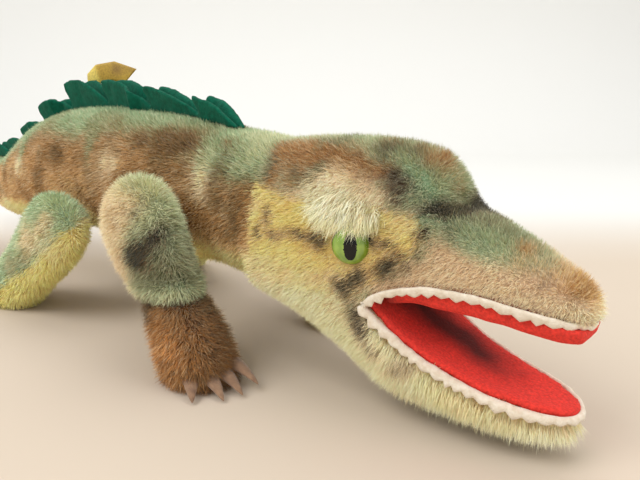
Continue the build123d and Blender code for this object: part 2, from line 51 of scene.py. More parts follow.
def box_mm(node):
    """Lowest and highest corner of a CAD node, in millimetres."""
    low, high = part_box(node)
    return np.array(low) / MM, np.array(high) / MM


def middle_of(node):
    low, high = box_mm(node)
    return (low + high) / 2


def side_of(leg):
    """1 for a left leg and -1 for a right one."""
    return SIDES[leg.split("_")[1]]


# ------------------------------------------------------------------ numbers
def smooth_step(low, high, value):
    share = np.clip((value - low) / (high - low), 0.0, 1.0)
    return share * share * (3.0 - 2.0 * share)


def bump_at(points, centre, radii):
    """Soft blob of height 1 at centre, with its own radius on each axis."""
    away = (points - np.array(centre)) / np.array(radii)
    return np.exp(-(away ** 2).sum(axis=1))


def unit(vectors):
    return vectors / np.maximum(np.linalg.norm(vectors, axis=1, keepdims=True), 1e-9)


LATTICE_SIZE = 32
LATTICE = np.random.default_rng(11).normal(size=(LATTICE_SIZE,) * 3 + (3,))


def noise3(points, size):
    """Smooth vector noise whose patches are about size millimetres wide."""
    place = points / size + 100.0
    cell = np.floor(place).astype(int)
    part = place - cell
    part = part * part * (3.0 - 2.0 * part)
    total = np.zeros((len(points), 3))
    for dx in (0, 1):
        wx = part[:, 0] if dx else 1.0 - part[:, 0]
        for dy in (0, 1):
            wy = part[:, 1] if dy else 1.0 - part[:, 1]
            for dz in (0, 1):
                wz = part[:, 2] if dz else 1.0 - part[:, 2]
                x, y, z = ((cell + (dx, dy, dz)) % LATTICE_SIZE).T
                corner = LATTICE[x, y, z]
                total += corner * (wx * wy * wz)[:, None]
    return total


def noise(points, size, channel=0):
    return noise3(points, size)[:, channel]


def rgb(red, green, blue):
    """Linear colour from the display values of a paint or cloth swatch."""
    swatch = np.array([red, green, blue]) / 255.0
    return np.where(swatch > 0.04045, ((swatch + 0.055) / 1.055) ** 2.4, swatch / 12.92)


# ------------------------------------------------------------------ meshes
def mesh_object(name, points, faces, materials=(), index=None, smooth=True):
    """Object from millimetre points and equal-sided faces, or a list of (n, k) arrays."""
    groups = faces if isinstance(faces, list) else [faces]
    corners = np.concatenate([g.ravel() for g in groups]).astype(np.int32)
    sizes = np.concatenate([np.full(len(g), g.shape[1]) for g in groups])
    starts = np.concatenate([[0], np.cumsum(sizes)[:-1]]).astype(np.int32)
    mesh = bpy.data.meshes.new(name)
    mesh.vertices.add(len(points))
    mesh.vertices.foreach_set("co", (np.asarray(points) * MM).astype(np.float32).ravel())
    mesh.loops.add(len(corners))
    mesh.loops.foreach_set("vertex_index", corners)
    mesh.polygons.add(len(starts))
    mesh.polygons.foreach_set("loop_start", starts)
    mesh.update(calc_edges=True)
    for material in materials:
        mesh.materials.append(material)
    if index is not None:
        mesh.polygons.foreach_set("material_index", np.asarray(index, dtype=np.int32))
    mesh.polygons.foreach_set("use_smooth", np.full(len(starts), smooth))
    mesh.validate()
    made = bpy.data.objects.new(name, mesh)
    bpy.context.scene.collection.objects.link(made)
    return made


def points_of(mesh):
    flat = np.empty(len(mesh.vertices) * 3, np.float32)
    mesh.vertices.foreach_get("co", flat)
    return flat.reshape(-1, 3).astype(float) / MM


def triangles_of(mesh):
    mesh.calc_loop_triangles()
    flat = np.empty(len(mesh.loop_triangles) * 3, np.int32)
    mesh.loop_triangles.foreach_get("vertices", flat)
    return flat.reshape(-1, 3)


def edges_of(mesh):
    flat = np.empty(len(mesh.edges) * 2, np.int32)
    mesh.edges.foreach_get("vertices", flat)
    return flat.reshape(-1, 2)


def quads_of(mesh):
    """Faces of an all-quad mesh."""
    flat = np.empty(len(mesh.loops), np.int32)
    mesh.loops.foreach_get("vertex_index", flat)
    return flat.reshape(-1, 4)


def normals_at(points, triangles):
    a, b, c = (points[triangles[:, k]] for k in range(3))
    face = np.cross(b - a, c - a)
    total = np.zeros_like(points)
    for k in range(3):
        for axis in range(3):
            total[:, axis] += np.bincount(triangles[:, k], face[:, axis], len(points))
    return unit(total)


def relaxed(points, edges, rounds, strength=0.5):
    """Evens out a surface by moving each point towards its neighbours' middle."""
    count = np.bincount(edges.ravel(), minlength=len(points)).astype(float)
    for _ in range(rounds):
        total = np.zeros_like(points)
        for axis in range(3):
            total[:, axis] = np.bincount(edges[:, 0], points[edges[:, 1], axis], len(points))
            total[:, axis] += np.bincount(edges[:, 1], points[edges[:, 0], axis], len(points))
        points = points + strength * (total / count[:, None] - points)
    return points


def plug(x, z, y_start, y_end, radius, sides=16):
    """Short bar along Y that fills a joint's bore before the skin is remade."""
    turn = np.arange(sides) * 2.0 * math.pi / sides
    ring = np.stack([x + radius * np.cos(turn), np.zeros(sides), z + radius * np.sin(turn)], 1)
    ends = [ring + [0.0, y, 0.0] for y in (y_start, y_end)]
    middles = [[x, y_start, z], [x, y_end, z]]
    points = np.concatenate(ends + [np.array(middles)])
    faces = []
    for i in range(sides):
        j = (i + 1) % sides
        faces += [[i, j, sides + j], [i, sides + j, sides + i]]
        faces += [[j, i, 2 * sides], [sides + i, sides + j, 2 * sides + 1]]
    return points, np.array(faces)


def voxel_skin(name, nodes, plugs, voxel):
    """One closed skin round some CAD nodes: (points in mm, quads), largest part only."""
    points, faces, total = [], [], 0
    for node in nodes:
        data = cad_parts[node].data
        points.append(points_of(data))
        faces.append(triangles_of(data) + total)
        total += len(points[-1])
    for extra_points, extra_faces in plugs:
        points.append(extra_points)
        faces.append(extra_faces + total)
        total += len(extra_points)
    rough = mesh_object(name, np.concatenate(points), np.concatenate(faces))
    modifier = rough.modifiers.new("skin", "REMESH")
    modifier.mode = "VOXEL"
    modifier.voxel_size = voxel * MM
    depsgraph = bpy.context.evaluated_depsgraph_get()
    mesh = bpy.data.meshes.new_from_object(rough.evaluated_get(depsgraph))
    bpy.data.objects.remove(rough)
    skin_points, quads = points_of(mesh), quads_of(mesh)
    edges = edges_of(mesh)
    label = np.arange(len(skin_points))
    while True:
        lowest = np.minimum(label[edges[:, 0]], label[edges[:, 1]])
        before = label.copy()
        np.minimum.at(label, edges[:, 0], lowest)
        np.minimum.at(label, edges[:, 1], lowest)
        label = label[label]
        if (label == before).all():
            break
    keep = label == np.bincount(label).argmax()
    quads = quads[keep[quads[:, 0]]]
    renumber = np.cumsum(keep) - 1
    bpy.data.meshes.remove(mesh)
    return skin_points[keep], renumber[quads]


def quad_edges(quads):
    pairs = np.concatenate([quads[:, [k, (k + 1) % 4]] for k in range(4)])
    return np.unique(np.sort(pairs, axis=1), axis=0)


def quad_triangles(quads):
    return np.concatenate([quads[:, [0, 1, 2]], quads[:, [0, 2, 3]]])


# ------------------------------------------------------------------ materials
def material(name, colour, roughness=0.6, **sockets):
    """Plain material; the sockets are Principled inputs by their Blender names."""
    made = bpy.data.materials.new(name)
    made.use_nodes = True
    shader = made.node_tree.nodes["Principled BSDF"]
    shader.inputs["Base Color"].default_value = (*[float(v) for v in colour], 1.0)
    shader.inputs["Roughness"].default_value = roughness
    for key, value in sockets.items():
        shader.inputs[key.replace("_", " ")].default_value = value
    return made


def nodes_of(made):
    tree = made.node_tree
    return tree.nodes, tree.links, tree.nodes["Principled BSDF"]


def noise_node(nodes, scale, detail):
    cloud = nodes.new("ShaderNodeTexNoise")
    cloud.inputs["Scale"].default_value = scale
    cloud.inputs["Detail"].default_value = detail
    return cloud


def bump_node(nodes, strength, distance):
    lift = nodes.new("ShaderNodeBump")
    lift.inputs["Strength"].default_value = strength
    lift.inputs["Distance"].default_value = distance
    return lift


def paint_node(nodes):
    """The colours that paint_mesh gave a mesh."""
    paint = nodes.new("ShaderNodeAttribute")
    paint.attribute_name = "paint"
    return paint


def mottled(name, dark, light, scale, roughness=0.8, bump=0.0, bump_scale=900.0, **sockets):
    """Felt, glass, board or wire whose colour wanders between two tones."""
    made = material(name, light, roughness, **sockets)
    nodes, links, shader = nodes_of(made)
    place = nodes.new("ShaderNodeTexCoord")
    cloud = noise_node(nodes, scale, 4.0)
    ramp = nodes.new("ShaderNodeValToRGB")
    for stop, position, tone in zip(ramp.color_ramp.elements, (0.32, 0.68), (dark, light)):
        stop.position = position
        stop.color = (*[float(v) for v in tone], 1.0)
    links.new(place.outputs["Object"], cloud.inputs["Vector"])
    links.new(cloud.outputs["Fac"], ramp.inputs["Fac"])
    links.new(ramp.outputs["Color"], shader.inputs["Base Color"])
    if bump:
        grain = noise_node(nodes, bump_scale, 3.0)
        lift = bump_node(nodes, bump, 0.0006)
        links.new(place.outputs["Object"], grain.inputs["Vector"])
        links.new(grain.outputs["Fac"], lift.inputs["Height"])
        links.new(lift.outputs["Normal"], shader.inputs["Normal"])
    return made


def painted(name, roughness=0.85, bump=0.5):
    """Backing cloth, felt or ribbon coloured by the mesh's own paint, with a woven grain."""
    made = material(name, (0.5, 0.5, 0.5), roughness)
    nodes, links, shader = nodes_of(made)
    paint = paint_node(nodes)
    place = nodes.new("ShaderNodeTexCoord")
    weave = noise_node(nodes, 1100.0, 2.0)
    ramp = nodes.new("ShaderNodeMapRange")
    limits = {"From Min": 0.3, "From Max": 0.7, "To Min": 0.72, "To Max": 1.1}
    for key, value in limits.items():
        ramp.inputs[key].default_value = value
    shade = nodes.new("ShaderNodeVectorMath")
    shade.operation = "SCALE"
    lift = bump_node(nodes, bump, 0.0008)
    links.new(place.outputs["Object"], weave.inputs["Vector"])
    links.new(weave.outputs["Fac"], ramp.inputs["Value"])
    links.new(paint.outputs["Color"], shade.inputs[0])
    links.new(ramp.outputs["Result"], shade.inputs["Scale"])
    links.new(shade.outputs["Vector"], shader.inputs["Base Color"])
    links.new(weave.outputs["Fac"], lift.inputs["Height"])
    links.new(lift.outputs["Normal"], shader.inputs["Normal"])
    return made


def paint_mesh(target, colours):
    layer = target.data.color_attributes.new("paint", "FLOAT_COLOR", "POINT")
    full = np.ones((len(colours), 4), np.float32)
    full[:, :3] = colours
    layer.data.foreach_set("color", full.ravel())


# ------------------------------------------------------------------ colour of the mohair
MINT = rgb(140, 172, 132)
PALE_MINT = rgb(186, 200, 162)
DEEP_GREEN = rgb(84, 104, 66)
YELLOW = rgb(238, 212, 130)
GOLD = rgb(222, 188, 98)
STRAW = rgb(234, 209, 162)
CREAM = rgb(238, 222, 190)
PINK_TAN = rgb(224, 192, 158)
BROW_PINK = rgb(252, 220, 188)
AMBER = rgb(194, 138, 72)
BROWN = rgb(124, 87, 30)
RUST = rgb(166, 106, 36)
DARK_BROWN = rgb(74, 46, 16)
OLIVE = rgb(44, 42, 24)
BLACK = rgb(40, 32, 22)
KHAKI = rgb(132, 122, 64)
BRIGHT_MINT = rgb(142, 186, 146)
SPRAY_GAIN = 1.25     # how much of a spot's strength reaches the cloth at its middle


def plain(points, colour):
    return np.broadcast_to(colour, (len(points), 3)).copy()


def tint(base, colour, weight):
    """Sprays colour over base where weight says so."""
    weight = np.clip(weight, 0.0, 1.0)[:, None]
    return base * (1.0 - weight) + colour * weight


def mirrored_of(points):
    return np.column_stack([points[:, 0], np.abs(points[:, 1]), points[:, 2]])


def spray(points, base, colour, spots, ragged=0.35):
    """Soft-edged airbrushed spots on both sides: (x, |y|, z, rx, ry, rz, strength)."""
    mirrored = mirrored_of(points + 3.0 * noise3(points, 9.0))
    edge = 1.0 + ragged * noise(points, 4.0, 1)
    for x, y, z, rx, ry, rz, amount in spots:
        weight = bump_at(mirrored, (x, y, z), (rx, ry, rz)) * edge
        base = tint(base, colour, amount * weight * SPRAY_GAIN)
    return base


def body_colour(points):
    """Back, flanks, belly and tail."""
    x, y, z = points.T
    middle, half = tail_line(x)
    level = (z - middle) / half
    broad, patch, fine = noise(points, 34.0), noise(points, 17.0, 1), noise(points, 7.0, 2)
    level = level + 0.08 * broad + 0.05 * patch
    colour = plain(points, STRAW)
    colour = tint(colour, YELLOW, 0.6 + 0.3 * patch)
    flank = smooth_step(-0.60, -0.32, level)
    colour = tint(colour, RUST, flank * (0.72 + 0.12 * patch))
    colour = tint(colour, BROWN, flank * smooth_step(-0.6, 0.7, patch + 0.5 * broad) * 0.8)
    colour = tint(colour, DARK_BROWN, flank * smooth_step(0.3, 1.5, -patch + 0.5 * fine) * 0.45)
    back = smooth_step(0.40, 0.78, level)
    colour = tint(colour, KHAKI, smooth_step(0.25, 0.6, level) * 0.55)
    colour = tint(colour, MINT, back * (0.85 - 0.12 * patch))
    colour = tint(colour, PALE_MINT, back * smooth_step(0.2, 1.3, broad + 0.6 * patch) * 0.5)
    colour = tint(colour, KHAKI, back * smooth_step(0.3, 1.3, -broad - 0.5 * patch) * 0.6)
    neck = smooth_step(142.0, 172.0, x)
    colour = tint(colour, PALE_MINT, neck * smooth_step(0.45, 0.8, level) * 0.75)
    colour = spray(points, colour, BROWN, [
        (119, 22, 93, 18, 12, 10, 0.85), (135, 24, 90, 14, 12, 12, 0.8), (77, 25, 94, 14, 12, 8, 0.6),
        (27, 31, 86, 16, 14, 9, 0.8), (-12, 28, 88, 12, 14, 9, 0.6), (102, 32, 76, 12, 14, 12, 0.7),
    ])
    colour = spray(points, colour, DARK_BROWN, [
        (136, 23, 92, 9, 10, 6, 0.7), (119, 22, 96, 10, 10, 4, 0.5), (164, 23, 85, 5, 10, 9, 0.75),
        (161, 16, 93, 6, 8, 4, 0.6), (171, 26, 72, 7, 10, 10, 0.7), (166, 27, 62, 8, 10, 7, 0.6),
        (30, 31, 84, 9, 12, 6, 0.5), (8, 31, 78, 8, 12, 8, 0.5), (56, 31, 84, 8, 12, 6, 0.45),
    ])
    colour = spray(points, colour, RUST, [
        (67, 31, 60, 10, 12, 8, 0.8), (84, 32, 70, 10, 12, 10, 0.6), (10, 32, 60, 12, 12, 8, 0.6),
        (146, 28, 66, 10, 12, 9, 0.6), (-22, 30, 62, 10, 12, 9, 0.7),
    ])
    colour = spray(points, colour, CREAM, [
        (88, 31, 85, 9, 12, 4.0, 0.55), (154, 27, 80, 7, 12, 6.0, 0.65), (-31, 30, 75, 8, 12, 7, 0.5),
        (83, 32, 78, 6, 12, 5, 0.3),
    ])
    tail = smooth_step(-80.0, -120.0, x)
    under = smooth_step(-0.2, -0.75, level)
    colour = tint(colour, PINK_TAN, tail * under * 0.8)
    return colour


def head_colour(points):
    """Hump, face mask, snout and lower jaw."""
    x, y, z = points.T
    fine, patch = noise(points, 4.5, 2), noise(points, 12.0, 1)
    colour = plain(points, MINT)
    colour = tint(colour, PALE_MINT, 0.40 + 0.3 * patch)
    # hump: a green streak and a green front patch between rust and brown
    colour = spray(points, colour, RUST, [
        (187, 14, 92, 10, 9, 8, 0.85), (200, 15, 92, 12, 9, 6, 0.95), (212, 12, 95, 12, 7, 4, 0.9),
        (227, 14, 92, 12, 7, 4.5, 1.0), (239, 15, 90, 9, 7, 4, 0.95), (196, 21, 84, 12, 8, 5, 0.7),
    ])
    colour = spray(points, colour, RUST, [
        (243, 0, 100, 10, 7, 3, 0.8), (257, 2, 97, 5, 9, 3, 0.9), (262, 5, 90, 3, 9, 6, 0.7),
    ])
    colour = spray(points, colour, DARK_BROWN, [
        (239, 6, 97, 9, 5, 3, 0.6), (215, 4, 99, 9, 5, 3, 0.55), (250, 15, 86, 5.5, 6, 4, 0.85),
        (245, 15, 89, 6, 6, 3.5, 0.75), (254, 15, 83, 4, 6, 3.5, 0.75), (186, 16, 88, 6, 8, 7, 0.5),
        (204, 19, 88, 8, 6, 3.5, 0.45), (250, 4, 97, 5, 6, 3, 0.35),
    ])
    colour = spray(points, colour, DARK_BROWN, [
        (246, 18, 86, 5, 6, 4.5, 0.7), (250, 17, 82, 5, 6, 3.5, 0.7), (212, 18, 90, 6, 6, 3, 0.4),
    ])
    colour = spray(points, colour, BRIGHT_MINT, [
        (259, 9, 88, 5, 6, 5, 0.75), (252, 12, 93, 5, 6, 3.5, 0.5),
    ])
    colour = spray(points, colour, PINK_TAN, [
        (208, 23, 79, 9, 7, 2.8, 0.6), (255, 16, 79, 4, 7, 3, 0.6), (226, 20, 86, 12, 7, 4.5, 0.8),
    ])
    colour = spray(points, colour, BROW_PINK, [
        (224, 20, 83.5, 9, 7, 5, 1.0), (232, 20, 80.5, 9, 7, 5, 1.0), (240, 19, 79.5, 7, 7, 4, 0.95),
        (218, 22, 79.5, 8, 7, 4, 0.95),
    ], ragged=0.2)
    # snout
    snout = smooth_step(258.0, 266.0, x) * smooth_step(44.0, 50.0, z) * smooth_step(86.0, 80.0, z)
    crest_line = 76.0 - 0.36 * (x - 268.0)
    drop = crest_line - z + 1.6 * patch
    colour = tint(colour, KHAKI, snout * 0.35)
    colour = tint(colour, PALE_MINT, snout * smooth_step(-3.0, 3.0, drop) * 0.5)
    cheek = smooth_step(238.0, 246.0, x) * smooth_step(68.0, 60.0, z) * (z > 44.0)
    colour = tint(colour, PINK_TAN, np.maximum(snout * smooth_step(3.0, 11.0, drop), cheek))
    colour = tint(colour, CREAM, snout * smooth_step(60.0, 55.0, z) * 0.25)
    colour = spray(points, colour, OLIVE, [
        (262, 12.5, 78, 5, 7, 3.4, 0.9), (266, 8, 77.5, 6, 7, 4.0, 0.9), (269, 0, 77.5, 7, 7, 4.0, 0.8),
        (274, 3, 75, 5, 6, 3.0, 0.45), (260, 16, 75.5, 3, 5, 3, 0.5),
    ])
    colour = spray(points, colour, DEEP_GREEN, [
        (270, 12, 73, 5, 6, 4, 0.4), (283, 2, 72, 8, 6, 3, 0.35), (281, 8, 69, 5, 6, 2.5, 0.2),
        (297, 3, 64, 5, 5, 2.5, 0.25),
    ])
    colour = spray(points, colour, AMBER, [
        (307, 3, 58.5, 3.4, 5, 3.8, 1.0), (304, 5, 60, 3.6, 5, 2.8, 0.9),
        (291, 4, 67.5, 3.5, 4, 2.0, 0.5),
    ])
    colour = spray(points, colour, DARK_BROWN, [(306, 4.5, 57, 2.4, 3, 1.8, 0.4)])
    colour = spray(points, colour, OLIVE, [(297, 9, 60, 1.6, 4, 2.6, 0.4)])
    colour = spray(points, colour, CREAM, [(313, 0, 52, 3.5, 9, 5, 0.9)])
    # face mask
    mask_top = np.interp(
        x, [174, 186, 202, 217, 232, 248, 256, 262], [84, 81.0, 78.0, 76.0, 76.0, 78.0, 76.5, 70])
    mask_front = np.interp(z, [40, 48, 54, 60, 66, 72, 77], [234, 238, 245, 252, 259, 261, 256])
    mask = smooth_step(-0.8, 0.8, mask_top - z + 0.5 * fine)
    mask = mask * smooth_step(-1.5, 1.5, mask_front - x + 0.7 * fine) * smooth_step(174.0, 180.0, x)
    face = tint(plain(points, YELLOW), GOLD, 0.25 + 0.25 * patch)
    face = tint(face, STRAW, smooth_step(-0.1, 1.1, -patch) * 0.5)
    face = tint(face, STRAW, smooth_step(66.0, 50.0, z) * 0.35)
    face = tint(face, PINK_TAN, smooth_step(60.0, 46.0, z) * 0.35)
    face = tint(face, STRAW, smooth_step(242.0, 250.0, x) * smooth_step(66.0, 72.0, z) * 0.5)
    colour = tint(colour, face, mask)
    # jaw
    jaw = smooth_step(47.0, 43.0, z) * smooth_step(178.0, 186.0, x)
    under = tint(plain(points, STRAW), YELLOW, 0.35 + 0.3 * patch)
    under = tint(under, CREAM, 0.55 + smooth_step(245.0, 290.0, x) * 0.35 + 0.15 * patch)
    chin = smooth_step(255.0, 270.0, x) * smooth_step(2.0, 7.5, z - jaw_floor(x))
    under = tint(under, GOLD, chin * 0.35)
    colour = tint(colour, under, jaw)
    # airbrushed marks of the face and round the mouth corner
    colour = spray(points, colour, BLACK, [
        (192, 24, 71, 2.6, 6, 2.8, 0.75), (188, 25, 65, 2.4, 6, 2.4, 0.85),
        (197, 25, 66.5, 2.2, 6, 2.6, 0.75), (204, 25, 62.5, 3.4, 6, 2.0, 0.7),
        (210, 25, 64.5, 3.0, 6, 2.0, 0.9), (217, 25, 64.2, 4.0, 6, 2.8, 1.1),
        (223, 24, 63.2, 3.4, 6, 2.8, 1.1), (226, 24, 64.2, 2.4, 6, 2.4, 1.1),
        (241.5, 20, 65.4, 2.6, 6, 2.2, 1.1), (247, 20, 65.0, 2.6, 6, 2.0, 1.1),
        (185, 23, 73, 2.5, 6, 2, 0.35),
    ], ragged=0.45)
    colour = spray(points, colour, DARK_BROWN, [
        (258, 18.5, 63.5, 3.6, 6, 2.8, 0.8), (253, 20, 59.5, 4.5, 6, 2.8, 0.85),
        (246, 21, 56.5, 5, 6, 2.8, 0.85), (239, 22, 52.5, 4.5, 6, 2.8, 0.85),
        (233, 23, 48.5, 3.6, 6, 3.0, 0.85),
    ], ragged=0.8)
    colour = spray(points, colour, BLACK, [
        (233, 23, 44, 3.0, 5, 3.4, 0.95), (237, 23, 38.5, 3.2, 5, 3.8, 0.95),
        (241, 22, 33.5, 3.2, 5, 3.4, 0.85), (246, 21, 29.5, 3.8, 5, 2.8, 0.75),
        (252, 20, 26, 4, 5, 2.4, 0.55), (230, 24, 50, 2.8, 5, 2.6, 0.7),
        (250, 20.5, 57, 2.6, 5, 1.6, 0.6), (242, 21.5, 54, 2.6, 5, 1.6, 0.6),
    ], ragged=0.8)
    return colour


def leg_colour(points, leg):
    """Front legs end in brown paws; hind legs keep a yellow inner panel."""
    x, y, z = points.T
    patch, fine = noise(points, 14.0, 1), noise(points, 6.0, 2)
    out = side_of(leg) * y
    colour = plain(points, MINT)
    if leg.startswith("front"):
        centre = np.interp(z, [0, 10, 29, 48, 60, 81], [169.5, 168.5, 160, 147.5, 141, 139])
        back = (centre - x) / np.interp(z, [0, 30, 50, 70], [16.0, 15.0, 20.0, 21.0])
        colour = tint(colour, PALE_MINT, 0.75 + 0.4 * patch)
        colour = tint(colour, STRAW, smooth_step(60.0, 76.0, z) * 0.15)
        behind = smooth_step(-0.75, 0.05, back + 0.15 * patch) * smooth_step(84, 70, z)
        colour = tint(colour, PINK_TAN, behind * 0.8)
        colour = spray(points, colour, KHAKI, [
            (163, 54, 50, 8, 12, 7, 0.8), (160, 54, 64, 5, 12, 5, 0.5),
        ])
        colour = spray(points, colour, OLIVE, [
            (156, 58, 54, 6.0, 12, 6.0, 1.2), (159, 54, 60, 4.5, 12, 4, 0.9),
            (149, 56, 72, 3.5, 9, 2.6, 0.55),
        ], ragged=0.25)
        # darker bands near z 43.5 and z 35 and a paler band near z 39, where the skin has creases and a
        # roll above the paw
        cuff = np.exp(-((z - 43.5 - 2 * patch) / 4.5) ** 2) * 0.7 * smooth_step(0.6, -0.2, back)
        colour = tint(colour, DEEP_GREEN, cuff)
        colour = tint(colour, PALE_MINT, np.exp(-((z - 39.0) / 2.5) ** 2) * 0.35)
        paw = smooth_step(37.5, 33.5, z)
        brown = tint(plain(points, BROWN), RUST, 0.6 + 0.5 * patch)
        brown = tint(brown, DARK_BROWN, smooth_step(0.0, 1.0, -patch + 0.4 * fine) * 0.75)
        brown = tint(brown, KHAKI, smooth_step(0.4, 1.3, fine) * 0.4)
        brown = tint(brown, DARK_BROWN, smooth_step(0.2, 0.7, -back) * 0.5)
        brown = spray(points, brown, AMBER, [
            (172, 57, 19, 8, 12, 9, 0.75), (160, 52, 8, 6, 12, 6, 0.4),
        ])
        colour = tint(colour, brown, paw)
        colour = tint(colour, DARK_BROWN, np.exp(-((z - 35.0) / 1.8) ** 2) * 0.8)
        inside = smooth_step(42.0, 36.0, out) * smooth_step(-0.6, -0.1, back)
        pale = np.maximum(smooth_step(0.55, 0.95, back + 0.1 * fine), inside)
        colour = tint(colour, STRAW, pale * 0.95)
    else:
        colour = tint(colour, PALE_MINT, 0.55 + 0.4 * patch)
        colour = tint(colour, DEEP_GREEN, smooth_step(0.5, 1.4, -patch) * 0.4)
        colour = spray(points, colour, PINK_TAN, [
            (50, 60, 44, 14, 12, 9, 0.7), (60, 58, 49, 6, 12, 6, 0.4),
        ])
        colour = spray(points, colour, RUST, [
            (46, 62, 35, 7, 9, 5, 0.55), (32, 64, 27, 8, 9, 5, 0.5),
        ])
        front = np.interp(z, [0, 11, 22, 30, 43, 54, 60], [4, 17, 34, 50, 66, 78, 96])
        low_inside = smooth_step(50.5, 47.5, out) * smooth_step(57.0, 51.0, z)
        inner = np.maximum(smooth_step(-1.5, 1.5, x - front + 1.2 * fine), low_inside)
        colour = tint(colour, YELLOW, inner * 0.95)
        colour = tint(colour, STRAW, inner * smooth_step(0.0, 1.0, patch) * 0.5)
    return colour


TAIL_XS = np.linspace(-314.0, 178.0, 83)


def back_profile():
    """Middle height and half height of the body and tail along x, from the skins."""
    cloud = np.concatenate([
        points_of(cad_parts[n].data)
        for n in ("back_skin_left", "back_skin_right", "belly_gusset")
    ])
    stations = np.unique(np.round(cloud[:, 0], 1))
    rows = []
    for station in stations:
        near = cloud[np.abs(cloud[:, 0] - station) < 0.6]
        if len(near) > 20:
            rows.append((station, near[:, 2].min(), near[:, 2].max()))
    rows = np.array(rows)
    low = np.interp(TAIL_XS, rows[:, 0], rows[:, 1])
    high = np.interp(TAIL_XS, rows[:, 0], rows[:, 2])
    return (low + high) / 2, (high - low) / 2


BODY_MIDDLE, BODY_HALF = back_profile()


def tail_line(x):
    return np.interp(x, TAIL_XS, BODY_MIDDLE), np.maximum(np.interp(x, TAIL_XS, BODY_HALF), 3.0)


def jaw_floor(x):
    return np.interp(x, [178, 222, 241, 310], [36, 18, 9, 9])


def torso_colour(points):
    """Body and head meet along a soft seam behind the face mask."""
    x = points[:, 0]
    join = smooth_step(176.0, 190.0, x + 2.0 * noise(points, 9.0))
    high = smooth_step(80.0, 88.0, points[:, 2])
    edge = smooth_step(181.0, 184.0, x + 0.5 * noise(points, 4.0, 2))
    join = join * high + edge * (1.0 - high)
    return tint(body_colour(points), head_colour(points), join)


# ------------------------------------------------------------------ skins
TORSO_NODES = [
    "back_skin_left", "back_skin_right", "belly_gusset", "body_stuffing", "body_joint_discs",
    "body_joint_washers", "crown_skin", "face_skin_left", "face_skin_right", "snout_skin",
    "head_stuffing", "jaw_skin", "jaw_stuffing", "eye_left", "eye_right",
]
SKIN_INSET = 1.7      # the pile's own height makes up what the backing gives away
SKIN_VOXEL = 1.6
SOLE_Z = 0.9          # lowest the legs' backing reaches


def joint_centre(leg):
    return middle_of(f"{leg}_leg_disc")


def torso_skin():
    plugs = []
    for leg in LEGS:
        centre, side = joint_centre(leg), side_of(leg)
        plugs.append(plug(centre[0], centre[2], side * 8.0, side * 31.0, 6.6))
    points, quads = voxel_skin("plush_torso", TORSO_NODES, plugs, SKIN_VOXEL)
    edges = quad_edges(quads)
    points = relaxed(points, edges, 10)
    normals = normals_at(points, quad_triangles(quads))
    mouth = (
        smooth_step(238.0, 244.0, points[:, 0])
        * smooth_step(10.0, 14.0, points[:, 2])
        * (normals[:, 2] > 0.55) * (points[:, 2] < 46.0)
    )
    palate = smooth_step(244.0, 250.0, points[:, 0]) * (normals[:, 2] < -0.6) * (points[:, 2] > 40.0)
    points = points - normals * (SKIN_INSET * (1.0 - np.maximum(mouth, palate)))[:, None]
    # cheeks fill out behind the mouth, and the hump swells over each brow
    mirrored = mirrored_of(points)
    swell = 1.6 * bump_at(mirrored, (214.0, 27.0, 60.0), (16.0, 12.0, 12.0))
    swell += 1.8 * bump_at(mirrored, (232.0, 20.0, 86.0), (18.0, 9.0, 6.0))
    swell -= 1.6 * bump_at(mirrored, (236.0, 22.0, 72.0), (14.0, 8.0, 3.5))
    swell += 1.2 * bump_at(mirrored, (306.0, 8.0, 58.0), (6.0, 6.0, 5.0))
    swell -= 1.2 * bump_at(mirrored, (176.0, 28.0, 62.0), (5.0, 14.0, 16.0))
    swell += 1.2 * bump_at(mirrored, (150.0, 28.0, 76.0), (14.0, 12.0, 14.0))
    swell += 1.6 * bump_at(mirrored, (260.0, 4.0, 96.0), (6.0, 14.0, 5.0))
    swell -= 3.4 * bump_at(mirrored, (268.0, 4.0, 82.0), (5.5, 18.0, 5.0))
    swell -= 1.4 * bump_at(mirrored, (-42.0, 30.0, 66.0), (2.6, 14.0, 16.0))
    swell -= 1.2 * bump_at(mirrored, (-24.0, 30.0, 62.0), (2.4, 12.0, 10.0))
    swell += 0.7 * np.clip(noise(points, 24.0), -1.5, 1.5) * smooth_step(180.0, 165.0, points[:, 0])
    points = points + normals * swell[:, None]
    points = relaxed(points, edges, 2)
    return points, quads


def leg_skin(leg):
    centre, side = joint_centre(leg), side_of(leg)
    parts = ("outer_skin", "inner_skin", "stuffing", "disc", "washer")
    nodes = [f"{leg}_leg_{part}" for part in parts]
    plugs = [plug(centre[0], centre[2], side * 38.5, side * 54.0, 5.0)]
    points, quads = voxel_skin(f"plush_{leg}", nodes, plugs, SKIN_VOXEL)
    edges = quad_edges(quads)
    points = relaxed(points, edges, 8)
    normals = normals_at(points, quad_triangles(quads))
    move = np.full(len(points), -SKIN_INSET)
    z = points[:, 2]
    if leg.startswith("front"):
        lean = z - 0.10 * (points[:, 0] - 152.0)
        outer = smooth_step(-8.0, 4.0, (points[:, 1] - centre[1]) * side)
        move += 1.5 * outer
        move -= 1.9 * np.exp(-((lean - 34.0) / 1.8) ** 2)
        move += 0.5 * np.exp(-((lean - 39.0) / 2.6) ** 2)
        move -= 0.9 * np.exp(-((lean - 43.5) / 1.6) ** 2)
    else:
        move -= 1.2 * np.exp(-((z - 16.0) / 2.5) ** 2)
    move = move * (1.0 - smooth_step(4.0, 1.0, z))
    points = points + normals * move[:, None]
    points[:, 2] = np.maximum(points[:, 2], SOLE_Z)
    return points, quads


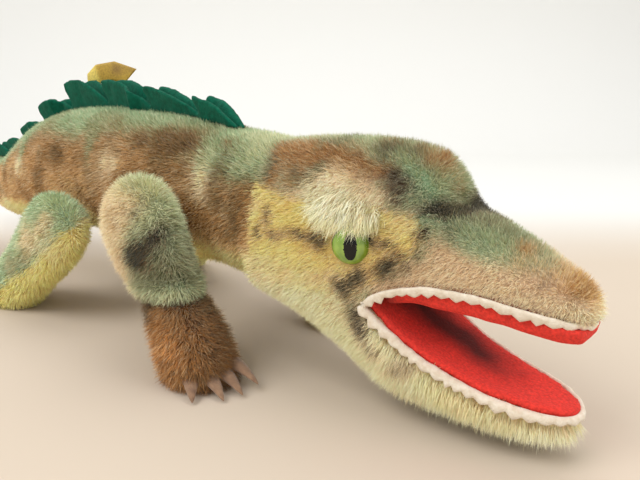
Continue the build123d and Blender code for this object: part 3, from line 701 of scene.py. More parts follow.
# ------------------------------------------------------------------ pile
PALETTE_SIZE = 44
PILE_GAIN = 1.38      # strands shade one another, so each is dyed paler than the pile looks
BACKING_PAINTED_SHADE = 0.85  # painted shade: the backing is painted a little darker than the pile over it, for the shade deep in the pile
PILE_FLOOR = 0.35     # strands under the soles and jaw lie flat on the floor
TIP_HIGHLIGHT_SHARE, TIP_HIGHLIGHT_WEIGHT = 0.2, 0.32     # painted highlight: some strands get pale cream tips, standing in for the light that mohair tips catch
COLOUR_DRIFT = 1.1    # how far a strand's colour is picked from its root
INK_RANGE = (0.004, 0.95)
SAMPLE_COUNT, CHUNK = 9000, 20000         # colours clustered, and colours assigned at once


def clustered(colours, count, rounds=10):
    """Representative colours of a cloud, and each colour's nearest one."""
    random = np.random.default_rng(5)
    sample = colours[random.choice(len(colours), min(len(colours), SAMPLE_COUNT), replace=False)]
    seen = np.sqrt(sample)
    centres = seen[random.choice(len(seen), count, replace=False)]
    for _ in range(rounds):
        nearest = ((seen[:, None] - centres[None]) ** 2).sum(axis=2).argmin(axis=1)
        for k in range(count):
            if (nearest == k).any():
                centres[k] = seen[nearest == k].mean(axis=0)
    nearest = np.concatenate([
        ((np.sqrt(part)[:, None] - centres[None]) ** 2).sum(axis=2).argmin(axis=1)
        for part in np.array_split(colours, max(1, len(colours) // CHUNK))
    ])
    return centres ** 2, nearest


def scatter(points, triangles, density, random):
    """Random roots on a skin: their places and their triangles' corner weights."""
    a, b, c = (points[triangles[:, k]] for k in range(3))
    area = np.linalg.norm(np.cross(b - a, c - a), axis=1) / 2
    middle = (a + b + c) / 3
    weight = area * density(middle)
    count = int(weight.sum())
    pick = random.choice(len(triangles), count, p=weight / weight.sum())
    u, v = random.random(count), random.random(count)
    flip = u + v > 1.0
    u[flip], v[flip] = 1.0 - u[flip], 1.0 - v[flip]
    return pick, np.column_stack([1.0 - u - v, u, v])


def pile(name, points, triangles, density, length, width, comb, colour, root_colour, seed,
         lift=1.0, tuft=3.2):
    """Mohair strands rooted on a skin, as tapered ribbons coloured like an airbrushed pile."""
    random = np.random.default_rng(seed)
    normals = normals_at(points, triangles)
    pick, share = scatter(points, triangles, density, random)
    corner = triangles[pick]
    roots = (points[corner] * share[:, :, None]).sum(axis=1)
    up = unit((normals[corner] * share[:, :, None]).sum(axis=1))
    count = len(roots)
    lay = comb(roots, up)
    lay = lay - up * (lay * up).sum(axis=1, keepdims=True)
    gather = noise3(roots, tuft)
    jitter = random.normal(size=(count, 3))
    size = length(roots, up) * np.clip(1.0 + 0.12 * random.normal(size=count), 0.6, 1.4)
    first = unit(up * lift + 0.35 * lay + 0.06 * gather + 0.15 * jitter)
    second = unit(up * 0.75 * lift + 0.60 * lay + 0.14 * gather + 0.26 * jitter)
    root = roots - 0.4 * up
    middle = root + first * (0.5 * size)[:, None]
    tip = middle + second * (0.5 * size)[:, None]
    middle[:, 2] = np.maximum(middle[:, 2], PILE_FLOOR)
    tip[:, 2] = np.maximum(tip[:, 2], PILE_FLOOR)
    turn = random.normal(size=count) * 0.5
    across = unit(np.cross(tip - root, up + 1e-6))
    facing = unit(np.cross(across, unit(tip - root)))
    across = across * np.cos(turn)[:, None] + facing * np.sin(turn)[:, None]
    spread = np.clip(1.0 + 0.2 * random.normal(size=count), 0.5, 1.6)
    half = (0.5 * width(roots) * spread)[:, None]
    strand = np.stack([
        root - across * half, root + across * half,
        middle + across * half * 0.85, middle - across * half * 0.85, tip,
    ], axis=1).reshape(-1, 3)
    first_index = np.arange(count)[:, None] * 5
    quads = first_index + np.array([[0, 1, 2, 3]])
    tips = first_index + np.array([[3, 2, 4]])
    tip_colour = colour(roots + COLOUR_DRIFT * random.normal(size=(count, 3)))
    # painted highlight: pale cream tips on a share of the strands, fewer on dark colours
    tip_highlight = np.where(random.random(count) < TIP_HIGHLIGHT_SHARE, TIP_HIGHLIGHT_WEIGHT, 0.0)
    tip_highlight = tip_highlight * smooth_step(0.04, 0.22, tip_colour.mean(axis=1))
    tip_colour = tint(tip_colour, CREAM, tip_highlight)
    shade = PILE_GAIN * np.clip(1.0 + 0.08 * random.normal(size=count), 0.6, 1.4)
    shade = shade * (1.0 + 0.04 * noise(roots, 5.0, 2))
    base_colour = np.clip(root_colour(tip_colour) * shade[:, None], *INK_RANGE)
    tip_colour = np.clip(tip_colour * shade[:, None], *INK_RANGE)
    swatches, nearest = clustered(np.concatenate([base_colour, tip_colour]), PALETTE_SIZE)
    inks = [
        material(f"{name}_{k:02d}", swatch, 0.55, Sheen_Weight=0.32, Sheen_Roughness=0.5)
        for k, swatch in enumerate(swatches)
    ]
    return mesh_object(name, strand, [quads, tips], inks, nearest, smooth=False)


def root_of(tip_colour):
    """The dyed cloth's own cream shows at the foot of each sprayed strand."""
    return tip_colour * 0.72 + STRAW * 0.19


def region(points, triangles, test):
    """The triangles whose middle passes a test."""
    middle = points[triangles].mean(axis=1)
    return triangles[test(middle)]


EYES = {side: middle_of(f"eye_{side}") for side in SIDES}
EYE_CLEARING = (7.6, 8.8)     # no fur inside the first distance, full fur beyond the second


def eye_distance(points):
    return np.minimum(*[np.linalg.norm(points - middle, axis=1) for middle in EYES.values()])


UPPER_LIP_X = np.array([241.0, 247.0, 254.0, 262.0, 269.0, 280.0, 292.0, 302.0, 309.0, 313.0])
UPPER_LIP_Z = np.array([44.8, 48.0, 51.5, 53.2, 53.8, 53.6, 52.0, 50.0, 48.2, 47.2])
LOWER_LIP_X = np.array([234.0, 241.0, 250.0, 259.0, 270.0, 284.0, 298.0, 306.0, 310.0])
LOWER_LIP_Z = np.array([44.3, 42.6, 34.5, 29.0, 24.5, 20.8, 18.6, 17.2, 16.6])
LIP_X = np.array([241.0, 250.0, 259.0, 270.0, 284.0, 298.0, 306.0, 311.0])
LIP_HALF = np.array([23.6, 22.0, 20.5, 18.8, 17.0, 13.5, 9.0, 4.0])


def inside_mouth(points):
    """1 on the felt-covered faces between the lips."""
    x, y, z = points.T
    roof = np.interp(x, UPPER_LIP_X, UPPER_LIP_Z)
    bed = np.interp(x, LOWER_LIP_X, LOWER_LIP_Z)
    between = (x > 240.5) & (z < roof + 0.3) & (z > bed - 0.6)
    covered = np.abs(y) < np.interp(x, LIP_X, LIP_HALF) - 2.0
    covered = covered & (z < roof + 2.2) & (z > bed - 3.0)
    return between | ((x > 240.5) & covered)


def torso_density(points):
    x, y, z = points.T
    dense = np.interp(x, [-314, -120, 60, 150, 183, 186, 320], [2.1, 2.1, 2.2, 2.6, 3.2, 5.6, 6.4])
    dense = dense * (1.0 + 0.2 * (z < 44.0) * (x > 236.0))
    dense = dense * smooth_step(*EYE_CLEARING, eye_distance(points))
    return np.where(inside_mouth(points), 0.0, dense)


def torso_length(points, up):
    x, y, z = points.T
    size = np.interp(x, [-314, -250, -120, 0, 170, 186, 230, 262, 275, 300, 314],
                     [3.0, 3.3, 3.8, 4.0, 4.0, 4.0, 3.8, 3.4, 3.0, 3.0, 3.4])
    size = size * (1.0 - 0.3 * bump_at(points, (266.0, 0.0, 84.0), (9.0, 18.0, 10.0)))
    jaw = smooth_step(44.0, 38.0, z) * smooth_step(225.0, 250.0, x)
    size = size * (1 - jaw) + 7.0 * jaw
    lip = np.minimum(
        np.abs(z - np.interp(x, UPPER_LIP_X, UPPER_LIP_Z)),
        np.abs(z - np.interp(x, LOWER_LIP_X, LOWER_LIP_Z)),
    )
    close = smooth_step(4.5, 0.5, lip) * smooth_step(236.0, 244.0, x)
    size = size * (1.0 - 0.45 * close)
    size = size * (0.45 + 0.55 * smooth_step(7.0, 13.0, eye_distance(points)))
    for leg in LEGS:
        centre = joint_centre(leg)
        gap = np.hypot(x - centre[0], z - centre[2] + 4.0)
        beside = smooth_step(26.0, 14.0, gap) * (points[:, 1] * side_of(leg) > 15)
        size = size * (1.0 - 0.5 * beside)
    return size


def torso_width(points):
    return np.interp(
        points[:, 0], [-314, -100, 100, 180, 220, 320], [0.38, 0.38, 0.34, 0.28, 0.19, 0.17])


def torso_comb(points, up):
    x, y, z = points.T
    lay = np.zeros_like(points)
    lay[:, 0] = -0.75
    lay[:, 2] = -0.65 * smooth_step(-0.2, 0.7, 1.0 - np.abs(up[:, 2]))
    jaw = smooth_step(44.0, 36.0, z) * smooth_step(235.0, 255.0, x)
    lay[:, 2] -= 0.9 * jaw
    lay[:, 0] += 0.7 * jaw
    brow = smooth_step(200.0, 215.0, x) * smooth_step(262.0, 250.0, x) * smooth_step(76.0, 82.0, z)
    lay[:, 2] -= 0.5 * brow
    lay[:, 0] += 0.4 * brow
    return lay


def leg_comb(points, up):
    lay = np.zeros_like(points)
    lay[:, 2] = -0.9
    lay[:, 0] = -0.15 + 0.5 * smooth_step(30.0, 10.0, points[:, 2])
    return lay


# ------------------------------------------------------------------ torso
torso_points, torso_quads = torso_skin()
torso_triangles = quad_triangles(torso_quads)
backing = painted("mohair_backing")
plush_torso = mesh_object("plush_torso", torso_points, torso_quads, [backing])
# painted shade: the backing's colour is darkened for the shade under the pile
paint_mesh(plush_torso, torso_colour(torso_points) * BACKING_PAINTED_SHADE)
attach(plush_torso, "torso")
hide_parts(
    "back_skin_left", "back_skin_right", "belly_gusset", "body_stuffing", "crown_skin",
    "face_skin_left", "face_skin_right", "snout_skin", "head_stuffing", "jaw_skin", "jaw_stuffing",
)

TAIL_X, HEAD_X = -70.0, 184.0     # where the tail's and the head's pile begin
JAW_X, JAW_Z = 236.0, 45.0        # the jaw's pile is ahead of and below these


def on_body(points):
    return (points[:, 0] >= TAIL_X) & (points[:, 0] < HEAD_X)


def on_jaw(points):
    return (points[:, 0] >= JAW_X) & (points[:, 2] < JAW_Z)


def on_head(points):
    return (points[:, 0] >= HEAD_X) & ~on_jaw(points)


parts = (
    ("pile_tail", lambda p: p[:, 0] < TAIL_X, "plush_back"),
    ("pile_body_right", lambda p: on_body(p) & (p[:, 1] < 0), "plush_back"),
    ("pile_body_left", lambda p: on_body(p) & (p[:, 1] >= 0), "plush_back"),
    ("pile_head_right", lambda p: on_head(p) & (p[:, 1] < 0), "plush_face"),
    ("pile_head_left", lambda p: on_head(p) & (p[:, 1] >= 0), "plush_face"),
    ("pile_jaw", on_jaw, "plush_face"),
)
for seed, (name, test, slot) in enumerate(parts):
    part = pile(
        name, torso_points, region(torso_points, torso_triangles, test), torso_density,
        torso_length, torso_width, torso_comb, torso_colour, root_of, 100 + seed,
    )
    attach(part, "torso")

# ------------------------------------------------------------------ legs
for seed, leg in enumerate(LEGS):
    leg_points, leg_quads = leg_skin(leg)
    leg_triangles = quad_triangles(leg_quads)
    plush = mesh_object(f"plush_{leg}_leg", leg_points, leg_quads, [backing])
    # painted shade: the leg's backing is darkened for the shade under the pile
    paint_mesh(plush, leg_colour(leg_points, leg) * BACKING_PAINTED_SHADE)
    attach(plush, f"{leg}_leg")
    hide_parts(f"{leg}_leg_outer_skin", f"{leg}_leg_inner_skin", f"{leg}_leg_stuffing")
    centre, side = joint_centre(leg), side_of(leg)
    front = leg.startswith("front")

    def leg_density(points, front=front):
        dense = np.full(len(points), 5.0 if front else 3.0)
        return np.where(points[:, 2] < 1.6, 0.3, dense)

    def leg_length(points, up, front=front, centre=centre, side=side):
        z = points[:, 2]
        size = np.full(len(points), 4.4)
        if front:
            size = size + 0.6 + 1.4 * smooth_step(32.0, 24.0, z)
            size = size - 1.6 * np.exp(-((z - 35.0) / 2.0) ** 2)
        inner = smooth_step(-6.0, -11.0, (points[:, 1] - centre[1]) * side)
        gap = np.hypot(points[:, 0] - centre[0], z - centre[2])
        return size * (1.0 - 0.45 * inner * smooth_step(26.0, 14.0, gap))

    def leg_width(points, front=front):
        return np.full(len(points), 0.24 if front else 0.32)

    part = pile(
        f"pile_{leg}_leg", leg_points, leg_triangles, leg_density, leg_length, leg_width,
        leg_comb, lambda p, leg=leg: leg_colour(p, leg), root_of, 200 + seed,
    )
    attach(part, f"{leg}_leg")

# ------------------------------------------------------------------ felt
RED = rgb(240, 62, 48)
RED_SHADE = rgb(214, 46, 38)
# dark red of the lower lining's streak: partly the toy's airbrushed black, partly painted shade
SHADOW_AND_AIRBRUSH_RED = rgb(62, 18, 14)
# dark red deep in the mouth corner: partly airbrush, partly painted shade
CORNER_SHADE_AND_AIRBRUSH_RED = rgb(60, 14, 12)
TEAL = rgb(8, 98, 74)
TEAL_SHADE = rgb(4, 78, 58)
WHITE_FELT = rgb(240, 230, 212)
WHITE_SHADE = rgb(222, 206, 182)
CLAW = rgb(156, 122, 94)
CLAW_SHADE = rgb(122, 92, 70)
felt_teal = mottled("felt_teal", TEAL_SHADE, TEAL, 420.0, 0.95, 0.7, 1500.0, Sheen_Weight=0.04,
                    Specular_IOR_Level=0.15)
felt_white = mottled("felt_white", WHITE_SHADE, WHITE_FELT, 500.0, 0.9, 0.6, 1700.0, Sheen_Weight=0.3)
felt_claw = mottled("felt_claw", CLAW_SHADE, CLAW, 320.0, 0.9, 0.6, 1700.0, Sheen_Weight=0.3)


def finish_piece(made, body, slot, *replaced):
    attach(made, body)
    if replaced:
        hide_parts(*replaced)


def closed_sheet(name, grid, half, materials):
    """Closed sheet round a grid of points; half is half its thickness, or one for each column."""
    along, across = np.gradient(grid, axis=0), np.gradient(grid, axis=1)
    normal = unit(np.cross(along.reshape(-1, 3), across.reshape(-1, 3))).reshape(grid.shape)
    count, wide = grid.shape[:2]
    offset = normal * np.broadcast_to(half, (wide,))[None, :, None]
    points = np.concatenate([(grid + offset).reshape(-1, 3), (grid - offset).reshape(-1, 3)])
    i, j = np.meshgrid(np.arange(count - 1), np.arange(wide - 1), indexing="ij")
    a = (i * wide + j).ravel()
    top = np.stack([a, a + wide, a + wide + 1, a + 1], 1)
    faces = [top, top[:, ::-1] + count * wide]
    for start, step, length, flip in (
        (0, wide, count, True), (wide - 1, wide, count, False),
        (0, 1, wide, False), ((count - 1) * wide, 1, wide, True),
    ):
        b = start + step * np.arange(length - 1)
        rim = np.stack([b, b + step, b + step + count * wide, b + count * wide], 1)
        faces.append(rim[:, ::-1] if flip else rim)
    return mesh_object(name, points, np.concatenate(faces), materials)


def lip_path(stations, step=0.4):
    """Smooth line from the right mouth corner round the nose to the left one."""
    right = [(x, -w, z) for x, w, z in stations]
    left = [(x, w, z) for x, w, z in reversed(stations[:-1])]
    knots = np.array(right + left, dtype=float)
    before = np.vstack([2 * knots[0] - knots[1], knots, 2 * knots[-1] - knots[-2]])
    line = []
    for k in range(len(knots) - 1):
        a, b, c, d = before[k:k + 4]
        for t in np.linspace(0.0, 1.0, 24, endpoint=False):
            line.append(0.5 * (2 * b + (c - a) * t + (2 * a - 5 * b + 4 * c - d) * t ** 2
                               + (3 * b - 3 * c + d - a) * t ** 3))
    line = np.array(line + [knots[-1]])
    run = np.concatenate([[0.0], np.cumsum(np.linalg.norm(np.diff(line, axis=0), axis=1))])
    even = np.arange(0.0, run[-1], step)
    return np.column_stack([np.interp(even, run, line[:, k]) for k in range(3)]), even


def tooth_profile(run, pitch, seed):
    """0 in the notches and 1 at the points of a hand-cut zigzag edge."""
    random = np.random.default_rng(seed)
    cuts = [0.0]
    while cuts[-1] < run[-1] + pitch:
        cuts.append(cuts[-1] + pitch * (1.0 + 0.18 * random.normal()))
    cuts = np.array(cuts)
    which = np.clip(np.searchsorted(cuts, run, side="right") - 1, 0, len(cuts) - 2)
    share = (run - cuts[which]) / (cuts[which + 1] - cuts[which])
    heights = np.clip(1.0 + 0.22 * random.normal(size=len(cuts)), 0.6, 1.6)
    return heights[which] * (1.0 - np.abs(2.0 * share - 1.0)) ** 0.85


def felt_strip(name, stations, rows, thickness, pitch, depth, seed):
    """Felt strip along a lip. rows give (out, up) of each line across the strip, the last
    one being the toothed edge; depth is the (out, up) reach of its points."""
    line, run = lip_path(stations)
    ahead = unit(np.gradient(line, axis=0))
    outward = unit(np.cross(ahead, [0.0, 0.0, 1.0]))
    lift = unit(np.cross(outward, ahead))
    teeth = tooth_profile(run, pitch, seed)
    slim = (1.0 - 0.35 * smooth_step(300.0, 309.0, line[:, 0]))[:, None]
    profile = np.array(rows, dtype=float)
    ease = np.linspace(0.0, 1.0, len(rows)) ** 2.0
    sheets = []
    for k, (out, rise) in enumerate(profile):
        reach = (teeth * ease[k])[:, None]
        sheets.append(
            line + outward * (out + reach * depth[0]) * slim + lift * (rise + reach * depth[1]) * slim)
    grid = np.stack(sheets, axis=1)
    grid = grid + 0.12 * noise3(grid.reshape(-1, 3), 3.0).reshape(grid.shape)
    thinned = np.array([0.45] + [1.0] * (len(rows) - 2) + [0.35])
    return closed_sheet(name, grid, thickness / 2 * thinned, [felt_white])


UPPER_LIP = [
    (240.6, 24.0, 44.6), (243.0, 23.9, 46.6), (247.5, 23.4, 49.2), (254.0, 22.3, 51.5),
    (262.0, 20.9, 53.2), (269.0, 19.8, 53.8), (280.0, 18.2, 53.6), (292.0, 16.1, 52.0),
    (302.0, 12.2, 50.2), (306.8, 8.2, 48.9), (309.6, 4.2, 48.2), (310.3, 0.0, 48.0),
]
LOWER_LIP = [
    (240.2, 23.9, 44.2), (240.6, 23.9, 42.2), (244.5, 23.0, 38.6), (250.0, 22.0, 34.5),
    (259.0, 20.5, 29.0), (270.0, 18.8, 24.5), (284.0, 17.0, 20.8), (298.0, 13.5, 18.6),
    (305.0, 8.8, 17.3), (308.3, 4.0, 16.8), (309.2, 0.0, 16.7),
]
upper_teeth = felt_strip(
    "felt_upper_teeth", UPPER_LIP,
    [(0.0, 0.7), (0.4, 0.4), (0.6, 0.0), (0.5, -0.5), (0.4, -1.0), (0.3, -1.4)],
    0.9, 4.6, (0.0, -1.3), 31,
)
finish_piece(upper_teeth, "torso", "felt_white", "upper_teeth")
lower_teeth = felt_strip(
    "felt_lower_teeth", LOWER_LIP,
    [(-1.3, 0.0), (-0.7, 0.5), (0.0, 0.6), (0.6, 0.2), (0.9, -0.5), (1.1, -1.2)],
    1.0, 4.6, (0.5, -1.2), 32,
)
finish_piece(lower_teeth, "torso", "felt_white", "lower_teeth")


def felt_from_cad(name, nodes, voxel, rounds, shape, materials, grow=0.0):
    """A felt piece grown from its CAD solid, with its edges softened."""
    points, quads = voxel_skin(name, nodes, [], voxel)
    points = relaxed(points, quad_edges(quads), rounds)
    normals = normals_at(points, quad_triangles(quads))
    points = shape(points + normals * grow, normals)
    return mesh_object(name, points, quads, materials), points


def tube_quads(rings, sides):
    """Faces between neighbouring rings of points."""
    ring, spot = np.divmod(np.arange((rings - 1) * sides), sides)
    here, after = ring * sides, (spot + 1) % sides
    return np.stack([here + spot, here + after, here + sides + after, here + sides + spot], 1)


def bulged(points, normals):
    low = np.interp(points[:, 0], UPPER_LIP_X, UPPER_LIP_Z)
    hang = smooth_step(0.5, 5.0, low - points[:, 2])
    points = points.copy()
    points[:, 2] = np.minimum(points[:, 2], low - 0.3) - 3.0 * hang
    points[:, 1] *= 1.0 + 0.07 * hang
    ahead = smooth_step(288.0, 304.0, points[:, 0])
    points[:, 2] -= 1.2 * ahead * smooth_step(45.0, 48.0, points[:, 2])
    points[:, 0] += 1.2 * ahead
    return points + 0.15 * noise3(points, 6.0)


def sunk(points, normals):
    points = points.copy()
    width = np.interp(points[:, 0], [237, 250, 270, 298, 310], [21, 18.5, 15.3, 10, 2])
    across = np.clip(np.abs(points[:, 1]) / width, 0.0, 1.0)
    points[:, 2] += 1.3 - 1.2 * (1.0 - across ** 2) * smooth_step(308.0, 290.0, points[:, 0])
    points[:, 1] *= 1.07
    return points + 0.12 * noise3(points, 6.0)


def red_colour(points, lower):
    shade = 0.25 + 0.10 * noise(points, 2.2) + 0.15 * noise(points, 14.0, 2)
    colour = tint(plain(points, RED), RED_SHADE, shade)
    if lower:
        # partly airbrushed black and partly painted shade: a dark streak down the lower lining, under
        # the palate
        x, y, z = points.T
        drift = noise(points, 7.0, 1)
        middle = np.interp(x, [240.0, 262.0, 290.0], [2.0, 7.0, 4.0])
        streak = np.exp(-((y - middle - 1.2 * drift) / 9.0) ** 2)
        streak = smooth_step(296.0, 262.0, x + 3.0 * drift) * streak
        return tint(colour, SHADOW_AND_AIRBRUSH_RED, np.minimum(streak, 0.92))
    # partly airbrush and partly painted shade: the palate darkens towards the mouth corner, deep in the
    # mouth
    return tint(colour, CORNER_SHADE_AND_AIRBRUSH_RED, smooth_step(256.0, 247.0, points[:, 0]) * 0.6)


felt_painted = painted("felt_painted", 0.92, 0.6)
palate, palate_points = felt_from_cad(
    "felt_palate", ["palate_lining"], 0.9, 3, bulged, [felt_painted], 0.9)
paint_mesh(palate, red_colour(palate_points, False))
finish_piece(palate, "torso", "felt_red", "palate_lining")
lining, lining_points = felt_from_cad(
    "felt_jaw_lining", ["jaw_lining"], 0.8, 3, sunk, [felt_painted], 0.7)
paint_mesh(lining, red_colour(lining_points, True))
finish_piece(lining, "torso", "felt_red", "jaw_lining")


# ------------------------------------------------------------------ crest
def splayed(side):
    def shape(points, normals):
        middle, half = tail_line(points[:, 0])
        height = np.maximum(points[:, 2] - middle - half, 0.0)
        points = points.copy()
        ripple = np.sin(points[:, 0] / 6.5 + 1.5 * side)
        points[:, 2] -= height * 0.20 * smooth_step(60.0, 105.0, points[:, 0])
        points[:, 1] += side * height * (0.22 + 0.04 * ripple)
        points[:, 1] += 0.012 * height ** 1.6 * noise(points, 16.0, 1)
        return points + 0.12 * noise3(points, 5.0)
    return shape


for side_name, side in SIDES.items():
    row, _ = felt_from_cad(
        f"felt_crest_{side_name}", [f"crest_{side_name}"], 0.75, 4, splayed(side), [felt_teal], 0.75)
    finish_piece(row, "torso", "felt_green", f"crest_{side_name}")


# ------------------------------------------------------------------ eyes
def lathe(profile, sides=64):
    """Points and faces of a turned form; profile is (radius, height) from rim to pole."""
    turn = np.arange(sides) * 2.0 * math.pi / sides
    rings = [
        np.stack([r * np.cos(turn), r * np.sin(turn), np.full(sides, h)], 1) for r, h in profile[:-1]
    ]
    points = np.concatenate(rings + [np.array([[0.0, 0.0, profile[-1][1]]])])
    last = (len(rings) - 1) * sides
    fan = [[last + i, last + (i + 1) % sides, len(points) - 1] for i in range(sides)]
    return points, tube_quads(len(rings), sides), np.array(fan)


iris = mottled("eye_iris", rgb(112, 150, 44), rgb(152, 186, 66), 260.0, 0.10,
               Coat_Weight=1.0, Coat_Roughness=0.02, Specular_IOR_Level=0.7)
pupil = material("eye_pupil", rgb(5, 5, 4), 0.22,
                 Specular_IOR_Level=0.25, Coat_Weight=0.25, Coat_Roughness=0.02)
rim = material("eye_rim", rgb(52, 66, 22), 0.2, Coat_Weight=1.0, Coat_Roughness=0.05)

EYE_TURN = math.radians(32.0)
for side_name, side in SIDES.items():
    low, high = box_mm(f"eye_{side_name}")
    radius = (high[2] - low[2]) / 2 * 1.04
    ahead = np.array([math.sin(EYE_TURN), side * math.cos(EYE_TURN), 0.0])
    upward = np.array([0.0, 0.0, 1.0])
    across = np.cross(upward, ahead)
    rise = np.radians(np.linspace(90, 0, 30))
    dome = [(radius * math.sin(a), 4.2 * math.cos(a) - 0.4) for a in rise]
    profile = [(radius, -2.6), (radius + 0.15, -1.0)] + dome
    points, quads, fan = lathe(profile)
    groups = []
    for faces in (quads, fan):
        middle = points[faces].mean(axis=1)
        ring = np.hypot(middle[:, 0], middle[:, 1]) / radius
        slit = (middle[:, 0] / (0.33 * radius)) ** 2 + (middle[:, 1] / (0.70 * radius)) ** 2
        groups.append(np.where(ring > 0.93, 2, np.where(slit < 1.0, 1, 0)))
    centre = EYES[side_name] + ahead * 1.4
    placed = centre + points[:, :1] * across + points[:, 1:2] * upward + points[:, 2:] * ahead
    eye = mesh_object(f"glass_eye_{side_name}", placed, [quads, fan], [iris, pupil, rim],
                      np.concatenate(groups))
    finish_piece(eye, "torso", "eye_glass", f"eye_{side_name}")


def tuft_colour(points):
    straw = smooth_step(78.0, 73.0, points[:, 2]) * 0.7 + 0.2 * noise(points, 5.0)
    return tint(plain(points, BROW_PINK), STRAW, straw)


for seed, (side_name, side) in enumerate(SIDES.items()):
    def brow_density(points, side=side):
        arc = bump_at(points, (229.0, side * 20.0, 74.2), (12.0, 9.0, 3.4))
        arc += bump_at(points, (219.5, side * 21.5, 75.2), (5.0, 9.0, 2.6))
        arc += bump_at(points, (238.0, side * 19.0, 75.2), (5.0, 9.0, 2.4))
        arc += 0.45 * bump_at(points, (227.0, side * 20.0, 80.0), (12.0, 9.0, 4.0))
        return 9.0 * np.clip(arc - 0.22, 0.0, 1.0)

    def brow_length(points, up):
        return 9.6 - 3.4 * smooth_step(6.0, 14.0, np.abs(points[:, 0] - 230.0))

    def brow_comb(points, up, side=side):
        lay = np.zeros_like(points)
        lay[:, 0] = (points[:, 0] - 229.0) * 0.045
        lay[:, 1] = side * 0.3
        lay[:, 2] = -1.5
        return lay

    def on_brow(points, side=side):
        x, y, z = points.T
        return (np.abs(x - 230.0) < 22) & (y * side > 8) & (np.abs(z - 76) < 9)

    tuft = pile(
        f"pile_brow_{side_name}", torso_points, region(torso_points, torso_triangles, on_brow),
        brow_density, brow_length, lambda p: np.full(len(p), 0.26), brow_comb, tuft_colour,
        lambda tip_colour: tip_colour * 0.9, 300 + seed, lift=0.9, tuft=2.6,
    )
    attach(tuft, "torso")


# ------------------------------------------------------------------ claws
CLAW_WIDE, CLAW_THICK = 3.7, 2.3


def claw_form(root, heading, length):
    """Flattened felt claw that curves down to the floor."""
    turn = math.radians(heading)
    ahead = np.array([math.cos(turn), math.sin(turn), 0.0])
    across = np.array([-math.sin(turn), math.cos(turn), 0.0])
    rings, sides = 12, 14
    share = np.linspace(0.0, 1.0, rings)
    spin = np.arange(sides) * 2.0 * math.pi / sides
    points = []
    for t in share:
        centre = np.array(root) + ahead * (length * t) + np.array([0, 0, t - 4.6 * t * t])
        size = (1.0 - t) ** 0.72 + 0.06
        for a in spin:
            points.append(centre + across * (CLAW_WIDE * size * math.cos(a))
                          + np.array([0, 0, CLAW_THICK * size * math.sin(a)]))
    points.append(np.array(root) - ahead)
    points.append(np.array(root) + ahead * (length + 0.3) + np.array([0, 0, -3.6]))
    fan, last = [], (rings - 1) * sides
    for i in range(sides):
        j = (i + 1) % sides
        fan += [[j, i, rings * sides], [last + i, last + j, rings * sides + 1]]
    points = np.array(points)
    points[:, 2] = np.maximum(points[:, 2], 0.4)
    return points, tube_quads(rings, sides), np.array(fan)


# Each claw: root x, distance out, root z, heading out of straight ahead, length
FRONT_CLAWS = (
    (179.5, 36.5, 7.6, 4.0, 19.0), (181.5, 42.5, 5.6, 10.0, 16.5), (180.5, 48.5, 5.0, 16.0, 15.0),
    (176.0, 54.0, 5.0, 34.0, 14.0),
)
HIND_CLAWS = (
    (-2.0, 69.0, 5.4, 86.0, 12.0), (-12.0, 67.5, 5.4, 110.0, 13.0), (-19.0, 63.5, 5.4, 136.0, 14.0),
    (-24.0, 57.5, 5.4, 174.0, 14.0),
)
for leg in LEGS:
    side = side_of(leg)
    all_points, all_quads, all_fans, total = [], [], [], 0
    for x, out, z, heading, length in FRONT_CLAWS if leg.startswith("front") else HIND_CLAWS:
        points, quads, fan = claw_form((x, side * out, z), side * heading, length)
        all_points.append(points)
        all_quads.append(quads + total)
        all_fans.append(fan + total)
        total += len(points)
    claws = mesh_object(
        f"felt_claws_{leg}", np.concatenate(all_points),
        [np.concatenate(all_quads), np.concatenate(all_fans)], [felt_claw],
    )
    finish_piece(claws, f"{leg}_leg", "felt_claw", f"{leg}_claws")


# ------------------------------------------------------------------ tag
tag_paper = painted("tag_paper", 0.6, 0.2)
# painted light and shade: a lit yellow for the folded-over end, a shaded gold mottled with brown for
# the face
TAG_PAINTED_LIT, TAG_PAINTED_SHADE_GOLD, TAG_BROWN = rgb(240, 214, 104), rgb(196, 160, 52), rgb(146, 112, 48)
TAG_TOP = box_mm("blank_tag")[1][2]


def tag_form():
    """Blank ribbon folded once, standing behind the crest and drooping to the front."""
    tall, across, upward = 12.5, 30, 10
    plan = np.array([(-10.0, 8.4), (-5.0, 8.6), (0.0, 8.8), (3.0, 9.8), (12.0, 15.0), (24.0, 22.0)])
    run = np.concatenate([[0.0], np.cumsum(np.linalg.norm(np.diff(plan, axis=0), axis=1))])
    grid = np.empty((across, upward, 3))
    for i, u in enumerate(np.linspace(0.0, run[-1], across)):
        share = u / run[-1]
        top = TAG_TOP + np.interp(share, [0.0, 0.27, 0.62, 1.0], [-4.4, 0.9, 2.8, -1.8])
        height = tall * np.interp(share, [0.0, 0.5, 1.0], [0.8, 1.0, 0.64])
        for j, v in enumerate(np.linspace(0.0, 1.0, upward)):
            curl = 0.8 * math.sin(2.4 * v + 1.5 * share)
            slant = u - 7.0 * (1.0 - v) * share ** 2
            grid[i, j] = (
                np.interp(slant, run, plan[:, 0]) + 0.5 * curl,
                np.interp(slant, run, plan[:, 1]) - curl,
                top - height * (1.0 - v),
            )
    return grid


def tag_colour(points):
    """Painted light and shade: the folded-over end is painted brighter where it catches the light, and
    the face, turned from the light, is painted a darker, browner gold.
    """
    face = smooth_step(-1.5, 2.5, points[:, 0] + 0.35 * (points[:, 2] - TAG_TOP))
    dim = tint(plain(points, TAG_PAINTED_SHADE_GOLD), TAG_BROWN, 0.25 + 0.3 * noise(points, 7.0))
    return tint(plain(points, TAG_PAINTED_LIT), dim, face)


tag = closed_sheet("blank_label", tag_form(), 0.25, [tag_paper])
paint_mesh(tag, tag_colour(points_of(tag.data)))
finish_piece(tag, "torso", "tag_paper", "blank_tag")

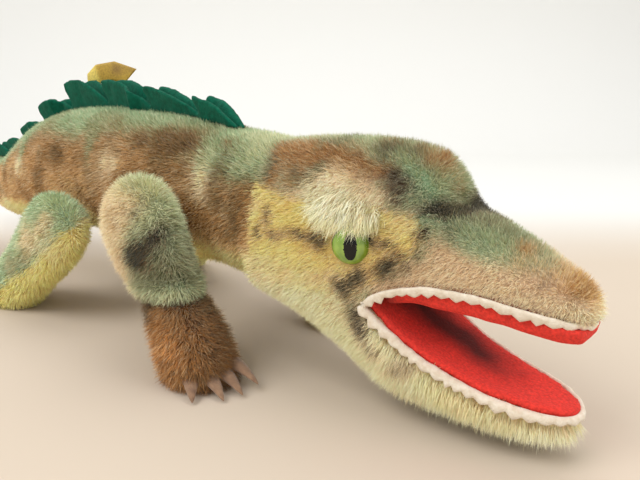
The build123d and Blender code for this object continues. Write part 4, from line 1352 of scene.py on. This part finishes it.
# ------------------------------------------------------------------ joint hardware
board = mottled("hardboard", rgb(96, 66, 40), rgb(140, 100, 62), 260.0, 0.8, 0.4, 900.0)
wire = mottled("steel_wire", rgb(120, 120, 122), rgb(190, 190, 192), 500.0, 0.35, 0.15, 1200.0,
               Metallic=1.0)
for node_name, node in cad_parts.items():
    if node.hide_render:
        continue
    node.data.materials.clear()
    node.data.materials.append(board if "disc" in node_name else wire)

# ------------------------------------------------------------------ stage
floor_material = material("pale_backdrop", (0.8, 0.75, 0.7), 0.8)
nodes, links, shader = nodes_of(floor_material)
links.new(paint_node(nodes).outputs["Color"], shader.inputs["Base Color"])
FLOOR = rgb(208, 193, 175)
WALL = rgb(232, 232, 229)
VIEW_AHEAD = np.array([-0.676, 0.737])
VIEW_RIGHT = np.array([0.737, 0.676])
CAMERA = np.array([0.365, -0.183, 0.114])
BEND_RADIUS, WALL_AHEAD, WALL_TOP = 0.35, 1.6, 3.0     # metres; the wall stands behind any side view


CAMERA_PITCH = 13.1     # degrees below the horizon


def backdrop():
    """Floor that sweeps up into a plain paler wall, square to the camera."""
    foot = WALL_AHEAD - BEND_RADIUS
    profile = [(ahead, 0.0) for ahead in [-2.0, *np.linspace(0.0, foot, 25)]]
    profile += [
        (foot + BEND_RADIUS * math.sin(a), BEND_RADIUS - BEND_RADIUS * math.cos(a))
        for a in np.radians(np.linspace(6, 90, 15))
    ]
    profile += [(WALL_AHEAD, WALL_TOP)]
    points, shares = [], []
    for ahead, rise in profile:
        for aside in (-4.0, 4.0):
            flat = CAMERA[:2] + VIEW_AHEAD * ahead + VIEW_RIGHT * aside
            points.append([flat[0] / MM, flat[1] / MM, rise / MM])
            shares.append(ahead + rise)
    faces = [[2 * k, 2 * k + 1, 2 * k + 3, 2 * k + 2] for k in range(len(profile) - 1)]
    made = mesh_object("backdrop", np.array(points), np.array(faces), [floor_material])
    pale = smooth_step(0.40, 0.66, np.array(shares))[:, None]
    paint_mesh(made, FLOOR * (1.0 - pale) + WALL * pale)
    return made


backdrop()


def area_light(name, place, aim, size, power, colour=(1.0, 1.0, 1.0)):
    data = bpy.data.lights.new(name, "AREA")
    data.shape = "DISK"
    data.size = size
    data.energy = power
    data.color = colour
    lamp = bpy.data.objects.new(name, data)
    lamp.location = place
    lamp.rotation_euler = (Vector(aim) - Vector(place)).to_track_quat("-Z", "Y").to_euler()
    bpy.context.scene.collection.objects.link(lamp)


area_light("window", (-0.2, -1.0, 1.3), (0.1, 0.0, 0.05), 1.2, 15.0)
area_light("fill", (1.4, 0.2, 0.8), (0.2, 0.0, 0.05), 1.0, 5.0)
area_light("sky", (0.0, 0.6, 1.6), (0.0, 0.0, 0.0), 1.6, 10.0)

world = bpy.data.worlds.new("studio")
world.use_nodes = True
world.node_tree.nodes["Background"].inputs["Color"].default_value = (1.0, 0.985, 0.96, 1.0)
world.node_tree.nodes["Background"].inputs["Strength"].default_value = 0.66
bpy.context.scene.world = world
bpy.context.scene.view_settings.view_transform = "Standard"

camera_data = bpy.data.cameras.new("camera")
camera_data.lens = 33.75
camera_data.sensor_width = 36.0
camera_data.clip_start = 0.01
camera = bpy.data.objects.new("camera", camera_data)
pitch = math.radians(CAMERA_PITCH)
camera.location = CAMERA
camera.rotation_euler = Vector((
    VIEW_AHEAD[0] * math.cos(pitch), VIEW_AHEAD[1] * math.cos(pitch), -math.sin(pitch),
)).to_track_quat("-Z", "Y").to_euler()
bpy.context.scene.collection.objects.link(camera)
bpy.context.scene.camera = camera
